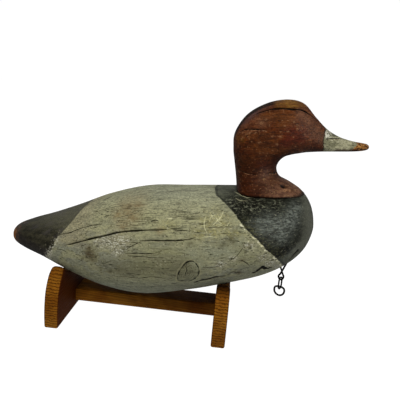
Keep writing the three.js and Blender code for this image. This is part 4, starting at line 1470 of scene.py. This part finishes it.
class DecoySettings(bpy.types.PropertyGroup):
    """Sizes and colours that a user would change."""

    knife_depth: bpy.props.FloatProperty(
        name="Knife depth", description="How uneven the carving leaves the surface",
        default=0.3 * MM, min=0, max=1.0 * MM, unit="LENGTH", subtype="DISTANCE")
    camera_distance: bpy.props.FloatProperty(
        name="Camera distance", description="From the camera to the middle of the duck",
        default=0.571, min=0.3, max=3, unit="LENGTH", subtype="DISTANCE")
    key_power: bpy.props.FloatProperty(
        name="Key light", description="Power of the large soft light in front",
        default=38.0, min=0, unit="POWER")
    window_power: bpy.props.FloatProperty(
        name="Window light", description="Power of the low soft light on the right",
        default=10.0, min=0, unit="POWER")
    ceiling_power: bpy.props.FloatProperty(
        name="Ceiling light", description="Power of the soft light overhead",
        default=2.6, min=0, unit="POWER")
    room_light: bpy.props.FloatProperty(
        name="Room light", description="Strength of the light from all round", default=0.1, min=0, max=2)
    floor_tint: tint("Floor", "Colour of the studio floor", (0.96, 0.96, 0.96))
    grey: tint("Grey", "Main grey of the body", (0.516, 0.513, 0.398))
    grey_olive: tint("Olive grey", "Warmer patches of the body", (0.522, 0.52, 0.386))
    grey_cool: tint("Cool grey", "Cooler patches of the body", (0.505, 0.51, 0.43))
    black: tint("Black", "The breast's black paint", (0.035, 0.04, 0.022))
    black_rubbed: tint("Rubbed black", "The breast where its black is rubbed", (0.2, 0.213, 0.16))
    tail_dark: tint("Tail dark", "Darker paint of the tail", (0.13, 0.125, 0.09))
    tail_brown: tint("Tail brown", "Lighter paint of the tail", (0.225, 0.215, 0.16))
    bare_wood: tint("Bare wood", "Wood worn bare at the tail's tip", (0.55, 0.34, 0.13))
    red: tint("Red", "Main red of the head", (0.315, 0.13, 0.028))
    red_worn: tint("Worn red", "Browner patches of the head", (0.37, 0.195, 0.06))
    red_deep: tint("Deep red", "Darkest red of the head and neck", (0.2, 0.08, 0.02))
    red_bright: tint("Bright red", "The redder patch of the cheek", (0.355, 0.12, 0.045))
    gold_worn: tint("Worn gold", "Paint rubbed to gold on the crown", (0.54, 0.38, 0.125))
    foot_worn: tint("Worn neck foot", "Paint rubbed at the foot of the neck", (0.47, 0.325, 0.235))
    bill: tint("Bill", "Grey-green of the bill", (0.61, 0.6, 0.485))
    bill_dark: tint("Bill shade", "Darker green of the bill", (0.42, 0.415, 0.31))
    bill_tip: tint("Bill tip", "Worn tip of the bill", (0.58, 0.38, 0.14))
    bill_tip_dark: tint("Bill tip shade", "Darker wear at the tip", (0.36, 0.2, 0.07))
    varnish: tint("Varnish", "Varnished wood of the cradle", (0.56, 0.365, 0.1))
    varnish_dark: tint("Dark varnish", "Darker wood of the cradle", (0.455, 0.27, 0.06))
    # Painted shade for the boards' broad faces
    face_painted_shade: tint("Stained faces", "Darker broad faces of the cradle's boards", (0.27, 0.085, 0.0))
    varnish_line: tint("Growth lines", "Lines of the cradle's grain", (0.17, 0.07, 0.005))
    iron: tint("Iron", "The wire of the line tie", (0.075, 0.075, 0.065))
    rust: tint("Rust", "Rust on the wire", (0.17, 0.13, 0.09))


def place_piece(piece, material, node):
    """Gives a piece its finish, hangs it under the root, and hides the imported part that it stands for.
    """
    piece.data.materials.clear()
    piece.data.materials.append(material)
    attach(piece, "root")
    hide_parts(node)


def carved_skin(name, grid, tips, values, depth, seed):
    """A closed skin from a grid of the carver's frame, cut inward by the knife and the splits."""
    outward = grid_normals(grid)
    numbers, cut = values(grid, outward)
    surface = carver_to_floor(carved(grid, outward, cut, seed, depth))
    first, last = carver_to_floor(np.array(tips, float))
    return closed_skin(name, surface, first, last, numbers)


class DECOY_OT_body(bpy.types.Operator):
    """Builds the carved body in its old paint"""
    bl_idname = "decoy.body"
    bl_label = "Body"

    def execute(self, context):
        grid = body_grid()
        depth = settings().knife_depth / MM
        seat = bell(grid[..., 0] - 88, 44) * step_between(grid[..., 2], 118, 138)
        calm = depth * (1 - 0.7 * seat)
        tips = ((TAIL_TIP + 0.6, 0, 92), (BREAST_TIP - 0.6, 0, 108))
        body = carved_skin("body_carving", grid, tips, body_values, calm, 3)
        place_piece(body, body_finish(), "body")
        return {"FINISHED"}


class DECOY_OT_head(bpy.types.Operator):
    """Builds the head and bill in their old paint"""
    bl_idname = "decoy.head"
    bl_label = "Head"

    def execute(self, context):
        grid = head_grid()
        calm = np.full(grid.shape[:2], 0.5 * settings().knife_depth / MM)
        calm[:SEAT_ROWS] = 0
        throat_x, _, crown_x, _, _, widest = head_section(0)[:6]
        centre_x = throat_x + (crown_x - throat_x) * widest
        seat = (centre_x, 0, float(body_height(np.array(centre_x), 0)) + FIT_GAP)
        tip = (HEAD_SECTIONS[-1][0] - 0.3, 0, HEAD_SECTIONS[-1][1])
        head = carved_skin("head_carving", grid, (seat, tip), head_values, calm, 17)
        place_piece(head, head_finish(), "head")
        return {"FINISHED"}


class DECOY_OT_line_tie(bpy.types.Operator):
    """Builds the line tie: staple, link and ring"""
    bl_idname = "decoy.line_tie"
    bl_label = "Line tie"

    def execute(self, context):
        iron = iron_finish()
        place_piece(tie_wire(), iron, "line_tie_wire")
        place_piece(swivel_link(), iron, "swivel_link")
        place_piece(anchor_ring(), iron, "anchor_ring")
        return {"FINISHED"}


class DECOY_OT_cradle(bpy.types.Operator):
    """Builds the cradle: two end boards and a rail"""
    bl_idname = "decoy.cradle"
    bl_label = "Cradle"

    def execute(self, context):
        across = stand_finish("varnished_boards", "y", 0.9)
        along = stand_finish("varnished_rail", "x", 0.45)
        rear = end_board("stand_end_rear_wood", REAR_BOARD_X)
        place_piece(rear, across, "stand_end_rear")
        front = end_board("stand_end_front_wood", FRONT_BOARD_X)
        place_piece(front, across, "stand_end_front")
        place_piece(rail(), along, "stand_rail")
        return {"FINISHED"}


def add_camera():
    """The camera: its back direction from yaw and pitch, its up direction turned by the roll."""
    back = Vector((math.sin(CAMERA_YAW) * math.cos(CAMERA_PITCH),
                   -math.cos(CAMERA_YAW) * math.cos(CAMERA_PITCH), math.sin(CAMERA_PITCH)))
    level = Vector((0, 0, 1)).cross(back).normalized()
    upright = back.cross(level)
    right = level * math.cos(CAMERA_ROLL) + upright * math.sin(CAMERA_ROLL)
    up = back.cross(right)
    lens = bpy.data.cameras.new("camera")
    lens.lens = CAMERA_LENS
    lens.sensor_width = 36
    lens.clip_start = 0.01
    camera = bpy.data.objects.new("camera", lens)
    turned = Matrix((right, up, back)).transposed().to_4x4()
    place = Vector(CAMERA_TARGET) * MM + back * settings().camera_distance
    camera.matrix_world = Matrix.Translation(place) @ turned
    bpy.context.scene.collection.objects.link(camera)
    bpy.context.scene.camera = camera


def add_area_light(name, place, size, power):
    """A soft square light that shines from its place towards the duck."""
    lamp = bpy.data.lights.new(name, "AREA")
    lamp.shape = "RECTANGLE"
    lamp.size, lamp.size_y = size
    lamp.energy = power
    lamp.color = LAMP_COLOUR
    light = bpy.data.objects.new(name, lamp)
    aim = (Vector(LAMP_TARGET) - Vector(place)).to_track_quat("-Z", "Y")
    light.matrix_world = Matrix.Translation(place) @ aim.to_matrix().to_4x4()
    bpy.context.scene.collection.objects.link(light)
    return light


def add_world(strength):
    """Dim light from the front and the sides, more from behind and below, and plain white for
    what the camera sees past the floor."""
    world = bpy.data.worlds.new("studio")
    nodes = Nodes(world)
    way = nodes.axes(nodes.node("TexCoord").outputs["Generated"])
    room_power = nodes.most(nodes.level(way["Y"], 0.0, 0.75, strength, BACK_LIGHT),
                            nodes.level(way["Z"], 0.0, -0.9, strength, TABLE_LIGHT))
    ray = nodes.node("LightPath").outputs
    room_power = nodes.times(room_power, nodes.scaled(ray["Is Glossy Ray"], MIRRORED_LIGHT - 1, 1.0))
    room = nodes.node("Background", {"Color": (1, 1, 1), "Strength": room_power})
    plain = nodes.node("Background", {"Color": (1, 1, 1), "Strength": BACKDROP_WHITE})
    shown = nodes.node("MixShader", {0: ray["Is Camera Ray"], 1: room.outputs[0], 2: plain.outputs[0]})
    nodes.node("OutputWorld", {"Surface": shown.outputs[0]})
    bpy.context.scene.world = world


def add_floor():
    """The floor: a flat round sheet, r and angle on a grid, a little way under the feet."""
    radius = np.concatenate([[0.02], np.geomspace(0.1, 9.0, 24)])[:, None] / MM
    angle = np.linspace(0, 2 * np.pi, FLOOR_SIDES, endpoint=False)[None, :]
    x, y = radius * np.cos(angle), -radius * np.sin(angle)
    grid = np.stack(np.broadcast_arrays(x, y, -FLOOR_DROP), -1)
    points = np.concatenate([grid.reshape(-1, 3), [(0, 0, -FLOOR_DROP)]])
    turn = np.arange(FLOOR_SIDES)
    centre = np.full(FLOOR_SIDES, len(points) - 1)
    fan = np.stack([centre, (turn + 1) % FLOOR_SIDES, turn], -1)
    floor = build_object("studio_floor", points, grid_faces(len(radius), FLOOR_SIDES), fan)
    floor.data.materials.append(floor_finish())
    floor.visible_diffuse = False
    floor.visible_glossy = False


class DECOY_OT_stage(bpy.types.Operator):
    """Sets the floor, the lights and the camera"""
    bl_idname = "decoy.stage"
    bl_label = "Stage"

    def execute(self, context):
        look = settings()
        context.scene.view_settings.view_transform = "Standard"
        add_floor()
        add_world(look.room_light)
        key = add_area_light("key", (-0.45, -1.65, 1.7), (1.3, 0.9), look.key_power)
        key.visible_glossy = False
        add_area_light("window", (1.5, -1.0, 1.0), (1.5, 1.0), look.window_power)
        ceiling = add_area_light("ceiling", (0.0, 0.1, 1.8), (1.4, 1.0), look.ceiling_power)
        ceiling.visible_glossy = False
        add_camera()
        return {"FINISHED"}


class DECOY_PT_panel(bpy.types.Panel):
    """Lists the decoy's pieces and settings"""
    bl_idname = "DECOY_PT_panel"
    bl_label = "Duck decoy"
    bl_space_type = "VIEW_3D"
    bl_region_type = "UI"
    bl_category = "Decoy"

    def draw(self, context):
        for step in BUILD_STEPS:
            self.layout.operator(step.bl_idname)
        for name in DecoySettings.__annotations__:
            self.layout.prop(context.scene.decoy, name)


BUILD_STEPS = (DECOY_OT_stage, DECOY_OT_body, DECOY_OT_head, DECOY_OT_line_tie, DECOY_OT_cradle)
CLASSES = (DecoySettings, *BUILD_STEPS, DECOY_PT_panel)


def register():
    """Adds the classes and the scene's decoy settings."""
    for part in CLASSES:
        bpy.utils.register_class(part)
    bpy.types.Scene.decoy = bpy.props.PointerProperty(type=DecoySettings)


def unregister():
    """Takes the settings and the classes away again."""
    del bpy.types.Scene.decoy
    for part in reversed(CLASSES):
        bpy.utils.unregister_class(part)


def main():
    """Builds everything in order."""
    register()
    for step in BUILD_STEPS:
        group, name = step.bl_idname.split(".")
        getattr(getattr(bpy.ops, group), name)()
    bpy.context.view_layer.update()


if __name__ == "__main__":
    main()
